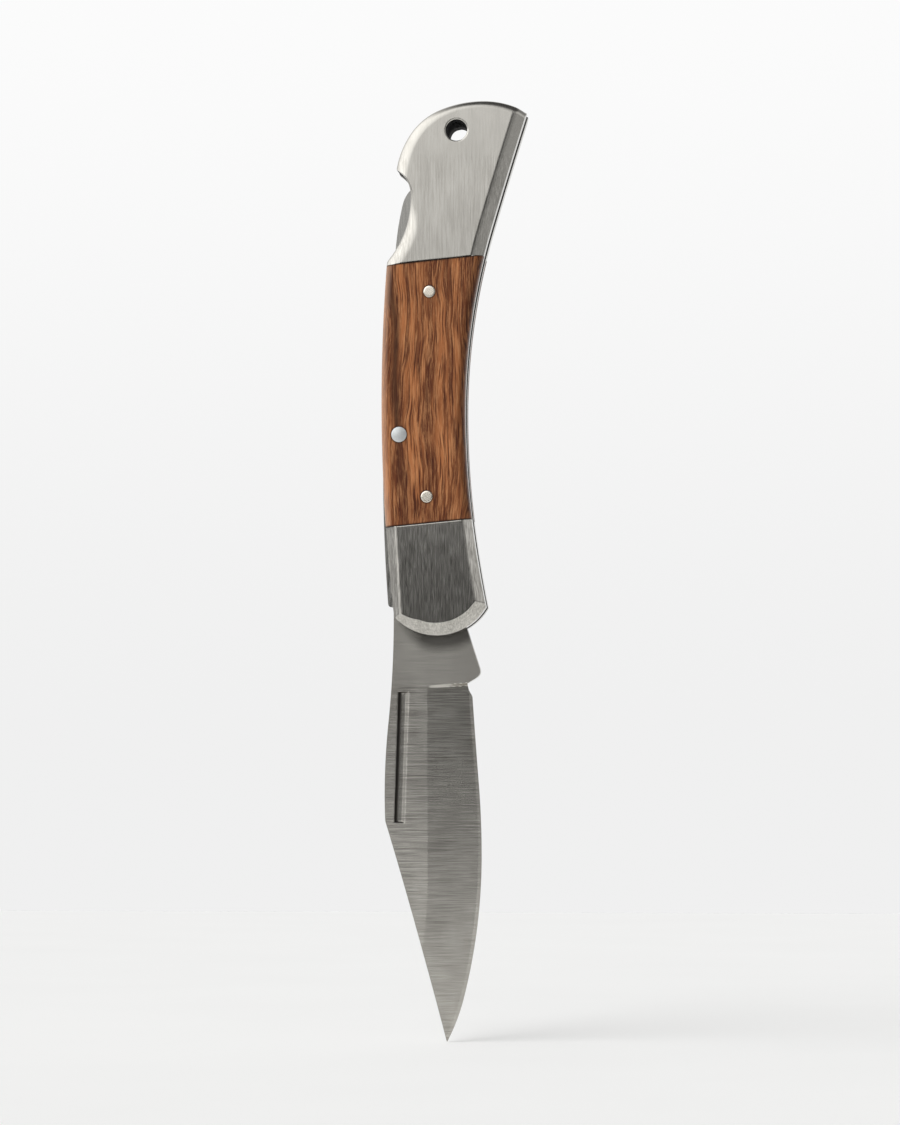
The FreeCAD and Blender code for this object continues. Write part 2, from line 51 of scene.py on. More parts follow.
# Liners: two flat plates of steel with the outline of the whole handle, blanked from sheet and polished on
# their rims, which show as a fine bright line along the belly. They carry the covers and every pin.

# MM turns millimetres into metres, UP is the heading straight up, and a UV map is UV_SPAN wide.
MM = 0.001
UP = math.pi / 2
UV_SPAN = 200.0
SHARP_ANGLE = 32.0
SIDES = {"left": -1, "right": 1}
HALF_SLOT = 1.3
LINER_FACE = 2.3
HOLE_RADIUS = 2.1
# The outline: from the nose up the belly, over the butt, down the thumb notch and along the back.
NOSE_BACK = (-12.35, -95.6)
NOSE_TIP = (-3.3, -99.25)
NOSE_BELLY = (5.6, -93.75)
BELLY_SWELL = (3.0, -78.1)
WAIST = (1.5, -55.5)
BELLY_FLARE = (6.75, -19.0)
BUTT_CORNER = (13.65, 3.55)
BUTT_CROWN = (5.0, 5.9)
BUTT_ROUNDING = [(-3.3, 4.3), (-9.3, -0.6)]
BUTT_BEAK = (-11.95, -7.4)
NOTCH_BOTTOM = (-9.05, -12.8)
NOTCH_FOOT_Z = -25.68
CREST = (-14.9, -51.0)
PARTING = 0.3

fine = np.linspace(0, 1, 400)


def arc_chain(start, heading, ends):
    """Arcs from point to point, each leaving in the direction in which the one before arrives, as rows of
    centre x and z, radius, first angle and turn. Half a turn is the angle from the heading to the chord,
    and the radius is the chord over twice its sine, so it is negative in a bend to the right."""
    rows = []
    for end in ends:
        chord = math.atan2(end[1] - start[1], end[0] - start[0])
        half = math.remainder(chord - heading, math.tau)
        radius = math.dist(start, end) / (2 * math.sin(half))
        centre = (start[0] - radius * math.sin(heading), start[1] + radius * math.cos(heading))
        rows.append((*centre, radius, heading - math.pi / 2, 2 * half))
        start, heading = end, heading + 2 * half
    return rows


def arc_through(a, middle, b):
    """One arc from a to b: its first heading is chord a-middle plus chord a-b minus chord middle-b."""
    headings = [math.atan2(q[1] - p[1], q[0] - p[0]) for p, q in ((a, middle), (a, b), (middle, b))]
    return arc_chain(a, headings[0] + headings[1] - headings[2], [b])


def backwards(chain):
    """The same arcs, run the other way: last first, with the signs of radius and turn changed."""
    return [(x, z, -radius, first + turn + math.pi, -turn) for x, z, radius, first, turn in chain[::-1]]


def along(chain, shares):
    """Points at the given shares of a chain's length, one row for each: the centre of the arc that a share
    falls on, plus the radius in the direction of the angle reached there."""
    rows = np.array(chain)
    lengths = np.abs(rows[:, 2] * rows[:, 4])
    ends = np.cumsum(lengths)
    travelled = np.asarray(shares) * ends[-1]
    i = np.minimum(np.searchsorted(ends, travelled), len(rows) - 1)
    angle = rows[i, 3] + rows[i, 4] * (travelled - ends[i] + lengths[i]) / lengths[i]
    return rows[i, :2] + rows[i, 2:3] * np.stack([np.cos(angle), np.sin(angle)], 1)


BACK = arc_through(BUTT_BEAK, CREST, NOSE_BACK)
back_points = along(BACK, fine)
NOTCH_FOOT = (float(np.interp(-NOTCH_FOOT_Z, -back_points[:, 1], back_points[:, 0])), NOTCH_FOOT_Z)
NOSE = arc_through(NOSE_BACK, NOSE_TIP, NOSE_BELLY)
BELLY = backwards(arc_chain(WAIST, -UP, [BELLY_SWELL, NOSE_BELLY]))
BELLY += arc_chain(WAIST, UP, [BELLY_FLARE, BUTT_CORNER])
BUTT = backwards(arc_chain(BUTT_CROWN, 0, [BUTT_CORNER]))
BUTT += arc_chain(BUTT_CROWN, 2 * UP, BUTT_ROUNDING + [BUTT_BEAK])
NOTCH = backwards(arc_chain(NOTCH_BOTTOM, UP, [BUTT_BEAK]))
NOTCH += arc_chain(NOTCH_BOTTOM, -UP, [NOTCH_FOOT])


def between_sides(z, left, right, shares):
    """Rows at heights z whose x runs by shares from a left to a right list of points of growing z."""
    left, right = np.asarray(left), np.asarray(right)
    low, high = np.interp(z, left[:, 1], left[:, 0]), np.interp(z, right[:, 1], right[:, 0])
    return low[:, None] + (high - low)[:, None] * shares, np.repeat(z[:, None], len(shares), 1)


def liner_plans():
    """Rows across the whole handle, closer together where its rim turns, in two plans that part at the
    lanyard hole. Elsewhere they meet on x = 0, but each keeps at least the PARTING share of its row."""
    nose, back, butt = along(NOSE, fine), back_points[::-1], along(backwards(BUTT), fine)
    lowest, highest = nose[:, 1].argmin(), butt[:, 1].argmax()
    bottom, top = nose[lowest, 1], butt[highest, 1]
    back_rim = np.concatenate([nose[lowest::-1], back[back[:, 1] < NOTCH_FOOT_Z],
                               along(backwards(NOTCH), fine), butt[:highest + 1]])
    belly_rim = np.concatenate([nose[lowest:], along(BELLY, fine), butt[:highest - 1:-1]])
    t = np.linspace(0, 1, 40)
    z = np.concatenate([bottom + (NOSE_BACK[1] - bottom) * t ** 2, [NOSE_BELLY[1]],
                        np.linspace(NOSE_BACK[1], NOTCH_FOOT_Z, 90),
                        np.linspace(NOTCH_FOOT_Z, BUTT_BEAK[1], 60),
                        np.linspace(BUTT_BEAK[1], -HOLE_RADIUS, 20),
                        -HOLE_RADIUS * np.cos(math.pi * t),
                        np.linspace(HOLE_RADIUS, BUTT_CORNER[1], 8),
                        top - (top - BUTT_CORNER[1]) * t ** 2])
    z = np.unique(z.round(4))
    left, right = [np.interp(z, rim[:, 1], rim[:, 0]) for rim in (back_rim, belly_rim)]
    spare = PARTING * (right - left)
    middle = np.clip(0, left + spare, right - spare)
    half_hole = np.sqrt(np.maximum(HOLE_RADIUS ** 2 - z ** 2, 0))
    shares = np.linspace(0, 1, 8)
    return [between_sides(z, back_rim, np.stack([middle - half_hole, z], 1), shares),
            between_sides(z, np.stack([middle + half_hole, z], 1), belly_rim, shares)]


def grid_faces(rows, columns, first=0):
    """Corner numbers of the cells of a grid whose points are counted row by row from first."""
    corner = first + np.arange(rows * columns).reshape(rows, columns)
    return np.stack([corner[:-1, :-1], corner[:-1, 1:], corner[1:, 1:], corner[1:, :-1]], -1).reshape(-1, 4)


def slab(name, grids, near, far, material, grain=0, marks=None):
    """A closed piece with a near and a far side over the same plan. Each plan grid is (x, z), with x
    growing along its rows and z from row to row, and grids that meet share their rim points. near and far
    give y from x and z, and walls join the two sides along every open rim. The UV map lets ground lines run
    along z for grain 0 and along x for grain 1, and marks are point attributes got from x, y and z."""
    flat = np.concatenate([np.stack([x.ravel(), z.ravel()], 1) for x, z in grids])
    firsts = np.cumsum([0] + [x.size for x, _ in grids[:-1]])
    cells = np.concatenate([grid_faces(*x.shape, first) for (x, _), first in zip(grids, firsts)])
    flat, same = np.unique(flat.round(5), axis=0, return_inverse=True)
    cells = same.reshape(-1)[cells]
    edges = np.concatenate([np.stack([cells[:, i], cells[:, (i + 1) % 4]], 1) for i in range(4)])
    edges = edges[edges[:, 0] != edges[:, 1]]
    _, at, count = np.unique(np.sort(edges, 1), axis=0, return_index=True, return_counts=True)
    rim = edges[at[count == 1]]
    x, z, size = flat[:, 0], flat[:, 1], len(flat)
    points = np.concatenate([np.stack([x, near(x, z), z], 1), np.stack([x, far(x, z), z], 1)]) * MM
    walls = np.stack([rim[:, 0], rim[:, 0] + size, rim[:, 1] + size, rim[:, 1]], 1)
    faces = np.concatenate([cells, cells[:, ::-1] + size, walls]).tolist()
    mesh = bpy.data.meshes.new(name)
    mesh.from_pydata(points.tolist(), [], [list(dict.fromkeys(face)) for face in faces])
    corners = np.empty(len(mesh.loops), int)
    mesh.loops.foreach_get("vertex_index", corners)
    plan = points[corners][:, [0, 2]] / (UV_SPAN * MM)
    mesh.uv_layers.new(name="side").data.foreach_set("uv", plan[:, [grain, 1 - grain]].ravel())
    for mark, value in (marks or {}).items():
        mesh.attributes.new(mark, "FLOAT", "POINT").data.foreach_set("value", value(*points.T / MM))
    mesh.materials.append(material)
    mesh.shade_smooth()
    mesh.set_sharp_from_angle(angle=math.radians(SHARP_ANGLE))
    piece = bpy.data.objects.new(name, mesh)
    bpy.context.scene.collection.objects.link(piece)
    return piece


def level(y):
    """A flat side at depth y."""
    return lambda x, z: np.full_like(x, y)


def on_side(sign, height, foot):
    """The near and far side of a piece on the left (-1) or right (1), from its foot to a height."""
    if sign < 0:
        return lambda x, z: -height(x, z), level(-foot)
    return level(foot), height


def linear(hex_colour):
    """A written sRGB colour as linear red, green, blue and alpha, by the line and power of sRGB."""
    parts = [int(hex_colour[i:i + 2], 16) / 255 for i in (1, 3, 5)]
    return [p / 12.92 if p <= 0.04045 else ((p + 0.055) / 1.055) ** 2.4 for p in parts] + [1.0]


def node(tree, kind, inputs=None, **settings):
    """Adds a shader node with its settings. Each named or numbered input gets a link from a socket, a
    written colour or a value. MapRange takes a value at 0, the range it comes from at 1 and 2, and the one
    it goes to at 3 and 4, by default 0 to 1. Mix takes a share at 0, and two numbers at 2 and 3 or two
    colours at 6 and 7."""
    made = tree.nodes.new("ShaderNode" + kind)
    for name, value in settings.items():
        setattr(made, name, value)
    for name, value in (inputs or {}).items():
        if isinstance(value, bpy.types.NodeSocket):
            tree.links.new(value, made.inputs[name])
        else:
            made.inputs[name].default_value = linear(value) if isinstance(value, str) else value
    return made


def new_material(name):
    """An empty material, its node tree and its Principled shader."""
    material = bpy.data.materials.new(name)
    material.use_nodes = True
    return material, material.node_tree, material.node_tree.nodes["Principled BSDF"]


def pattern(tree, place, size, detail=2.0, rough=0.5):
    """Noise whose features are about size millimetres along x, y and z, read at a place in metres."""
    scale = [1 / (s * MM) for s in size]
    spread = node(tree, "Mapping", {"Vector": place, "Scale": scale}).outputs[0]
    return node(tree, "TexNoise", {"Vector": spread, "Scale": 1.0, "Detail": detail,
                                   "Roughness": rough}).outputs["Fac"]


# Pairs of places between which polished steel passes into painted shade, and how much shade it gets.
SHADE_BORE = (2.14, 2.11)
SHADE_NOTCH_DEPTH = (3.5, 3.4)
SHADE_NOTCH_X = (-8.3, -8.7)
SHADE_NOTCH_TOP = (-6.8, -7.2)
SHADE_NOTCH_FOOT = (-26.0, -25.0)
SHADE_NOTCH_SHARE = 0.75
SHADE_INSIDE = (1.4, 1.35)
SHADE_INSIDE_SHARE = 0.6


def painted_shade_places(tree, place):
    """The share of painted shade on the steel, the most of three places: the bore of the lanyard hole, the
    walls of the thumb notch, where all four of its limits hold, and the inner faces of the liners with what
    lies between them."""
    x, y, z = node(tree, "SeparateXYZ", {0: place}).outputs
    plan = node(tree, "CombineXYZ", {0: x, 1: z}).outputs[0]
    from_hole = node(tree, "VectorMath", {0: plan}, operation="LENGTH").outputs["Value"]
    depth = node(tree, "Math", {0: y}, operation="ABSOLUTE").outputs[0]
    limits = ((from_hole, SHADE_BORE, 1.0), (depth, SHADE_INSIDE, SHADE_INSIDE_SHARE),
              (z, SHADE_NOTCH_FOOT, SHADE_NOTCH_SHARE), (depth, SHADE_NOTCH_DEPTH, 1.0), (x, SHADE_NOTCH_X, 1.0),
              (z, SHADE_NOTCH_TOP, 1.0))
    shares = []
    for value, (clean, shaded), most in limits:
        share = node(tree, "MapRange", {0: value, 1: clean * MM, 2: shaded * MM, 4: most})
        shares.append(share.outputs[0])
    bore, inner, notch, *others = shares
    for limit in others:
        notch = node(tree, "Math", {0: notch, 1: limit}, operation="MULTIPLY").outputs[0]
    walls = node(tree, "Math", {0: notch, 1: inner}, operation="MAXIMUM").outputs[0]
    return node(tree, "Math", {0: bore, 1: walls}, operation="MAXIMUM").outputs[0]


# How strongly grinding lines and broad patches colour the steel, over which part of their noise, and how
# the lines fade out where a belt did not reach.
LINE_SHARE = 0.8
LINE_SPREAD = (0.3, 0.7)
PATCH_SHARE = 0.2
PATCH_SPREAD = (0.35, 0.65)
FADE_SHARE = 0.7
FADE_LEVEL = 0.55
FADE_RUN = 1.0
# The dark colour of painted shade and of old oil.
SHADE_AND_OIL = "#1E1A17"


def steel(name, dark, light, line, cloud, rough, aniso=0.0, depth=0.002, shade_and_oil=painted_shade_places, dull=0.95,
          top=None):
    """Bare metal with grinding lines between a dark and a light colour. line and cloud are the sizes of the
    lines and of broad uneven patches along x, y and z; rough is the range of roughness from the smoothest
    to the roughest line, aniso how far the lines stretch reflections and depth their relief. The function
    given after depth yields the share that turns dark, painted shade in hollows and old oil where a mesh
    marks it, dull the roughness there, and above the height top, if given, lines fade."""
    material, tree, shader = new_material(name)
    place = node(tree, "TexCoord").outputs["Object"]
    lines = pattern(tree, place, line, detail=3.0, rough=0.6)
    if top is not None:
        height = node(tree, "SeparateXYZ", {0: place}).outputs["Z"]
        faded = node(tree, "MapRange", {0: height, 1: (top - FADE_RUN) * MM, 2: top * MM, 4: FADE_SHARE})
        lines = node(tree, "Mix", {0: faded.outputs[0], 2: lines, 3: FADE_LEVEL}).outputs[0]
    patches = pattern(tree, place, cloud, detail=3.0, rough=0.55)
    low, high = LINE_SPREAD
    lined = node(tree, "MapRange", {0: lines, 1: low, 2: high, 4: LINE_SHARE}).outputs[0]
    clean = node(tree, "MapRange", {0: lines, 1: low, 2: high, 3: rough[0], 4: rough[1]}).outputs[0]
    low, high = PATCH_SPREAD
    patchy = node(tree, "MapRange", {0: patches, 1: low, 2: high, 4: PATCH_SHARE}).outputs[0]
    tone = node(tree, "Math", {0: lined, 1: patchy}, operation="ADD").outputs[0]
    bright = node(tree, "Mix", {0: tone, 6: dark, 7: light}, data_type="RGBA").outputs[2]
    # Painted shade, and old oil where marked, darken the colour and dull the shine.
    darkened = shade_and_oil(tree, place)
    colour = node(tree, "Mix", {0: darkened, 6: bright, 7: SHADE_AND_OIL}, data_type="RGBA").outputs[2]
    gloss = node(tree, "Mix", {0: darkened, 2: clean, 3: dull})
    bump = node(tree, "Bump", {"Height": lines, "Strength": 1.0, "Distance": depth * MM})
    tree.links.new(colour, shader.inputs["Base Color"])
    tree.links.new(gloss.outputs[0], shader.inputs["Roughness"])
    tree.links.new(bump.outputs[0], shader.inputs["Normal"])
    shader.inputs["Metallic"].default_value = 1.0
    if aniso:
        shader.inputs["Anisotropic"].default_value = aniso
        tangent = node(tree, "Tangent", direction_type="UV_MAP", uv_map="side")
        tree.links.new(tangent.outputs[0], shader.inputs["Tangent"])
    return material


# Polished steel plate: rims that catch the light as a thin bright line, with painted shade in the lanyard
# hole's bore, on the walls of the thumb notch and between the liners. Its lines along the handle are drawn
# 0.25 mm apart, coarser than real ones, so that they show.
polished_plate = steel("polished_steel_plate", "#B9B7B1", "#DAD8D3", (0.25, 0.25, 6.0), (6.0, 6.0, 20.0),
                       (0.16, 0.3))
for side, sign in SIDES.items():
    sides = on_side(sign, level(LINER_FACE), HALF_SLOT)
    liner = slab(f"liner_{side}_plate", liner_plans(), *sides, polished_plate)
    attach(liner, "handle")
    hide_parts(f"liner_{side}")


# Butt spacer, butt rivets and pivot pin: a steel block between the liners at the butt, the two rivets that
# hold it there under the rear bolsters, and the pin that the blade turns on, ground level with the front
# bolsters. They keep their CAD meshes and are finished with the liners.

def refinish(node_name, material):
    """Gives a CAD piece that keeps its mesh a new finish."""
    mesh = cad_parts[node_name].data
    mesh.materials.clear()
    mesh.materials.append(material)


for name in ("butt_spacer", "butt_rivet_upper", "butt_rivet_lower", "pivot_pin"):
    refinish(name, polished_plate)


# Lock spring: a bent leaf of blued spring steel between the liners. Its root sits in the spacer's slot and
# its end bears on the lock bar's thumb arm.

HALF_BLADE = 1.2
SPRING_ROOT = (-4.0, -2.9)
SPRING_BEND_Z = -7.3
SPRING_END = (-7.8, -23.1)
SPRING_THICKNESS = 0.9


def spring_plan():
    """Rows across the leaf: straight at its root, then an arc that starts upright and sweeps out."""
    fall, sweep = SPRING_END[1] - SPRING_BEND_Z, SPRING_ROOT[0] - SPRING_END[0]
    radius = (sweep ** 2 + fall ** 2) / (2 * sweep)
    z = np.concatenate([np.linspace(SPRING_END[1], SPRING_BEND_Z, 60), [SPRING_ROOT[1]]])
    drop = np.minimum(z - SPRING_BEND_Z, 0)
    middle = SPRING_ROOT[0] - radius + np.sqrt(radius ** 2 - drop ** 2)
    x = middle[:, None] + np.linspace(-0.5, 0.5, 5) * SPRING_THICKNESS
    return x, np.repeat(z[:, None], 5, 1)


# Blued spring steel: dark blue grey with a soft gleam. Its grinding lines are drawn 0.3 mm apart, coarser
# than real ones, so that they show.
blued_spring = steel("blued_spring_steel", "#4E5560", "#7C8088", (0.3, 0.3, 5.0), (4.0, 4.0, 8.0),
                     (0.25, 0.4))
spring = slab("leaf_spring", [spring_plan()], level(-HALF_BLADE), level(HALF_BLADE), blued_spring)
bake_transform(spring)
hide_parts("lock_spring")


# Lock bar: a bar of steel along the back that rocks on a pin. Its hook drops behind the tang, its bare
# thumb arm shows in the notch of the rear bolster, and its back was ground together with the liners.

ROCKER = (-11.3, -60.0)
LOCK_TRAVEL = 2.6
LOCK_SINK = 0.5
# The hook and the kick's seat, the lobe round the pin, the thumb arm, and the pad that the spring meets.
HOOK_TIP = -8.647
HOOK_END = -93.65
HOOK_REAR = -90.75
HOOK_ROOT = -10.35
HOOK_ROUND = (0.5, 0.5)
KICK_SEAT = (-10.43, -76.56)
LOBE_RADIUS = 2.9
LOBE_SPREAD = 50.0
ARM_END_Z = -10.6
ARM_END_DEPTH = 2.25
ARM_DEPTH = 4.0
ARM_SWELL = 0.4
ARM_IN = 0.35
ARM_ROUND = (3.5, 1.6)
PAD_REACH = (-25.0, -21.0)
# Two rows this far apart draw a straight step.
STEP = 0.02


def turned(points, centre, degrees):
    """Points turned about the Y axis at centre, from +Z towards +X: x cos + z sin and z cos - x sin."""
    a = math.radians(degrees)
    x, z = (np.asarray(points, float) - centre).T
    return np.stack([centre[0] + x * math.cos(a) + z * math.sin(a),
                     centre[1] - x * math.sin(a) + z * math.cos(a)], 1)


def lock_bar_plan():
    """Rows across the bar, drawn locked and then turned to where it rests. Its back follows the handle's,
    swells along the thumb arm as a parabola and is rounded at both ends by quarters of ellipses."""
    back = turned(back_points, ROCKER, -LOCK_SINK)[::-1]
    back_x = lambda z: np.interp(z, back[:, 1], back[:, 0])
    hook_rows = [HOOK_REAR, HOOK_REAR + STEP, HOOK_END + 0.3 * HOOK_ROUND[0]]
    heights = np.unique(np.concatenate([np.linspace(HOOK_END, ARM_END_Z, 200), hook_rows]))
    swell = np.clip((heights - NOTCH_FOOT_Z) / (ARM_END_Z - NOTCH_FOOT_Z), 0, 1)
    left = back_x(heights) + ARM_IN * swell - 4 * ARM_SWELL * swell * (1 - swell)
    for gap, (long, deep) in ((heights - HOOK_END, HOOK_ROUND), (ARM_END_Z - heights, ARM_ROUND)):
        left = left + deep * (1 - np.sqrt(1 - (1 - np.clip(gap / long, 0, 1)) ** 2))
    angles = np.radians(np.linspace(-LOBE_SPREAD, LOBE_SPREAD, 20))
    lobe = np.stack([ROCKER[0] + LOBE_RADIUS * np.cos(angles), ROCKER[1] + LOBE_RADIUS * np.sin(angles)], 1)
    pad = [(back_x(z) + ARM_DEPTH, z) for z in PAD_REACH]
    arm_end = (back_x(ARM_END_Z) + ARM_IN + ARM_END_DEPTH, ARM_END_Z)
    right = [(HOOK_TIP, HOOK_END), (HOOK_TIP, HOOK_REAR), (HOOK_ROOT, HOOK_REAR + STEP), KICK_SEAT,
             *lobe, *pad, arm_end]
    x, z = between_sides(heights, np.stack([left, heights], 1), right, np.linspace(0, 1, 12))
    placed = turned(np.stack([x.ravel(), z.ravel()], 1), ROCKER, LOCK_TRAVEL)
    return placed[:, 0].reshape(x.shape), placed[:, 1].reshape(x.shape)


def marked_shade_and_oil(tree, place):
    """The mesh's own point values of painted shade and old oil. A mesh without them has neither."""
    return node(tree, "Attribute", attribute_name="shade_and_oil").outputs["Fac"]


# Ground steel, handled bare: mid grey, with lines along the bar that stretch the reflections across it.
# They are drawn 0.25 mm apart, coarser than real ones, so that they show.
ground_bar = steel("ground_steel_bar", "#8E8D89", "#C2C0BB", (0.25, 0.25, 5.0), (3.0, 3.0, 12.0),
                   (0.2, 0.36), aniso=0.5, shade_and_oil=marked_shade_and_oil, dull=0.4)
bar = slab("rocking_lock_bar", [lock_bar_plan()], level(-HALF_BLADE), level(HALF_BLADE), ground_bar)
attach(bar, "lock_bar")
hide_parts("lock_bar")


# Blade: hardened steel with a clip point, ground from both sides across its length, which leaves fine lines
# from spine to edge. Its tang turns on the pivot pin, its flat has a nail groove on the left side, and the
# edge has its own narrow sharpened bevel.

# Spine, clip, edge and choil, then the tang with its kick, neck, cam and lock notch.
PIVOT = (-3.5, -92.0)
SHOULDER = (-12.75, -96.0)
SPINE = [(-13.8, -116.5), (-14.4, -135.4)]
CLIP_MIDDLE = (-8.25, -156.4)
TIP = (-2.35, -178.4)
HEEL = (2.65, -111.0)
EDGE_UPPER = (3.9, -128.2)
EDGE_WIDEST = (4.45, -142.2)
EDGE_LOWER = (0.85, -170.2)
CHOIL = [(1.95, -109.8), (1.7, -108.6)]
KICK = (4.5, -106.8)
KICK_ROUND = 1.1
KICK_SIDES = [(-0.81, -0.58), (-0.26, 0.96)]
NECK = (0.1, -93.0)
CAM_RADIUS = 6.4
CAM_END_ANGLE = 55.0
NOTCH_SIDE = -8.4
NOTCH_BOTTOM_Z = -93.9
NOTCH_TOP_Z = -90.5
TANG_ROWS_Z = -98.0
# The ground sides: where they start below the tang, the grind line, and the sharpened edge.
PLUNGE_Z = -109.5
PLUNGE_RUN = 0.5
PLUNGE_SLANT = 0.065
GRIND_SIDE = -6.1
GRIND_STRAIGHT_Z = -146.5
GRIND_SWEEP = 95.0
GRIND_SOFT = 0.008
EDGE_SHOULDER = 0.23
EDGE_LAND = 0.025
EDGE_BEVEL = 0.7
EDGE_SOFT = 0.02
# The nail groove.
GROOVE_TOP = (-10.8, -110.2)
GROOVE_END = (-11.6, -135.8)
GROOVE_WIDTH = 2.2
GROOVE_FLOOR = 0.8
GROOVE_DEPTH = 0.45
GROOVE_END_SLOPE = 0.25
# Painted shade across the groove from the spine's side, a painted shadow below the nose of the bolster, and
# a film of old oil, left off the flat beside the clip as a painted highlight.
GROOVE_SHADE_AT = (-1.2, -1.0, -0.6, -0.3, 0.4, 1.1)
GROOVE_SHADE = (0, 1.0, 0.95, 0.5, 0.4, 0.35)
NOSE_CURVE = 0.05
NOSE_SHADOW = 0.75
NOSE_SHADOW_REACH = 4.2
NOSE_SHADOW_FADE = 2.6
NOSE_SHADOW_BACK = -13.0
NOSE_SHADOW_RUN = 6.0
OIL_FILM = 0.13
HIGHLIGHT_FLAT_Z = -128.0
HIGHLIGHT_FLAT_RUN = 12.0
FLAT_SLACK = 0.01


def soft_min(a, b, k):
    """The lower of two heights. Where they differ by less than k, the square of what is missing to k, over
    4 k, comes off and rounds the crease."""
    return np.minimum(a, b) - np.maximum(k - np.abs(a - b), 0) ** 2 / (4 * k)


edge_points = np.concatenate([along(arc_chain(EDGE_WIDEST, -UP, [EDGE_LOWER, TIP]), fine)[::-1],
                              along(arc_chain(EDGE_WIDEST, UP, [EDGE_UPPER, HEEL]), fine[1:])])


def half_thickness(x, z):
    """The blade's half thickness: the lowest of the flat, the ground side (a straight line from the grind
    line to the edge's shoulder) and the sharpened edge, which rises to the flat over the plunge."""
    slope = edge_points[-1] - edge_points[-2]
    edge = np.interp(z, edge_points[:, 1], edge_points[:, 0])
    edge = edge + np.maximum(z - HEEL[1], 0) * slope[0] / slope[1]
    fall = np.minimum(z - GRIND_STRAIGHT_Z, 0)
    grind = GRIND_SIDE - GRIND_SWEEP + np.sqrt(GRIND_SWEEP ** 2 - fall ** 2)
    plunge = np.clip((z - PLUNGE_Z - PLUNGE_SLANT * (x - GRIND_SIDE)) / PLUNGE_RUN, 0, 1)
    steep = (HALF_BLADE - EDGE_SHOULDER) / (edge - grind)
    ground = EDGE_SHOULDER + (edge - x) * steep
    sharp = EDGE_LAND + (edge - x) * (EDGE_SHOULDER - EDGE_LAND + EDGE_BEVEL * steep) / EDGE_BEVEL
    side = soft_min(soft_min(np.full_like(x, HALF_BLADE), ground, GRIND_SOFT), sharp, EDGE_SOFT)
    return np.maximum(side + (HALF_BLADE - side) * plunge, EDGE_LAND / 2)


def groove_depth(x, z):
    """How deep the nail groove is: sloping walls down to a flat floor, with a short slope at both ends."""
    run, fall = GROOVE_END[0] - GROOVE_TOP[0], GROOVE_END[1] - GROOVE_TOP[1]
    length = math.hypot(run, fall)
    down = ((x - GROOVE_TOP[0]) * run + (z - GROOVE_TOP[1]) * fall) / length
    off = np.abs((x - GROOVE_TOP[0]) * fall - (z - GROOVE_TOP[1]) * run) / length
    wall = (GROOVE_WIDTH - GROOVE_FLOOR) / 2
    across = np.clip((GROOVE_WIDTH / 2 - off) / wall, 0, 1)
    ends = np.clip(np.minimum(down, length - down) / GROOVE_END_SLOPE, 0, 1)
    return GROOVE_DEPTH * np.minimum(across, ends)


def blade_shade_and_oil(x, y, z):
    """Painted shade and old oil, the most of three: painted shade in the groove, heaviest on the wall
    nearest the spine; a painted shadow below the parabola of the front bolster's nose, fading downwards and
    towards the back; and a thin film of old oil that dulls the blade all over, but for the flat beside the
    clip, which is left lighter as a painted highlight."""
    # Painted shade in the groove.
    run, fall = GROOVE_END[0] - GROOVE_TOP[0], GROOVE_END[1] - GROOVE_TOP[1]
    across = (x - GROOVE_TOP[0]) - (z - GROOVE_TOP[1]) * run / fall
    groove = np.interp(across, GROOVE_SHADE_AT, GROOVE_SHADE) * (groove_depth(x, z) > 0) * (y < 0)
    # Painted shadow of the front bolster's nose on the tang.
    above_nose = z - NOSE_TIP[1] - NOSE_CURVE * (x - NOSE_TIP[0]) ** 2
    nose = NOSE_SHADOW * np.clip((above_nose + NOSE_SHADOW_REACH) / NOSE_SHADOW_FADE, 0, 1)
    nose = nose * np.clip((x - NOSE_SHADOW_BACK) / NOSE_SHADOW_RUN, 0, 1)
    # The film is left off the flat beside the clip, a painted highlight there.
    flat = half_thickness(x, z) > HALF_BLADE - FLAT_SLACK
    film = OIL_FILM * (1 - flat * np.clip((HIGHLIGHT_FLAT_Z - z) / HIGHLIGHT_FLAT_RUN, 0, 1))
    return np.maximum.reduce([groove, nose, film])


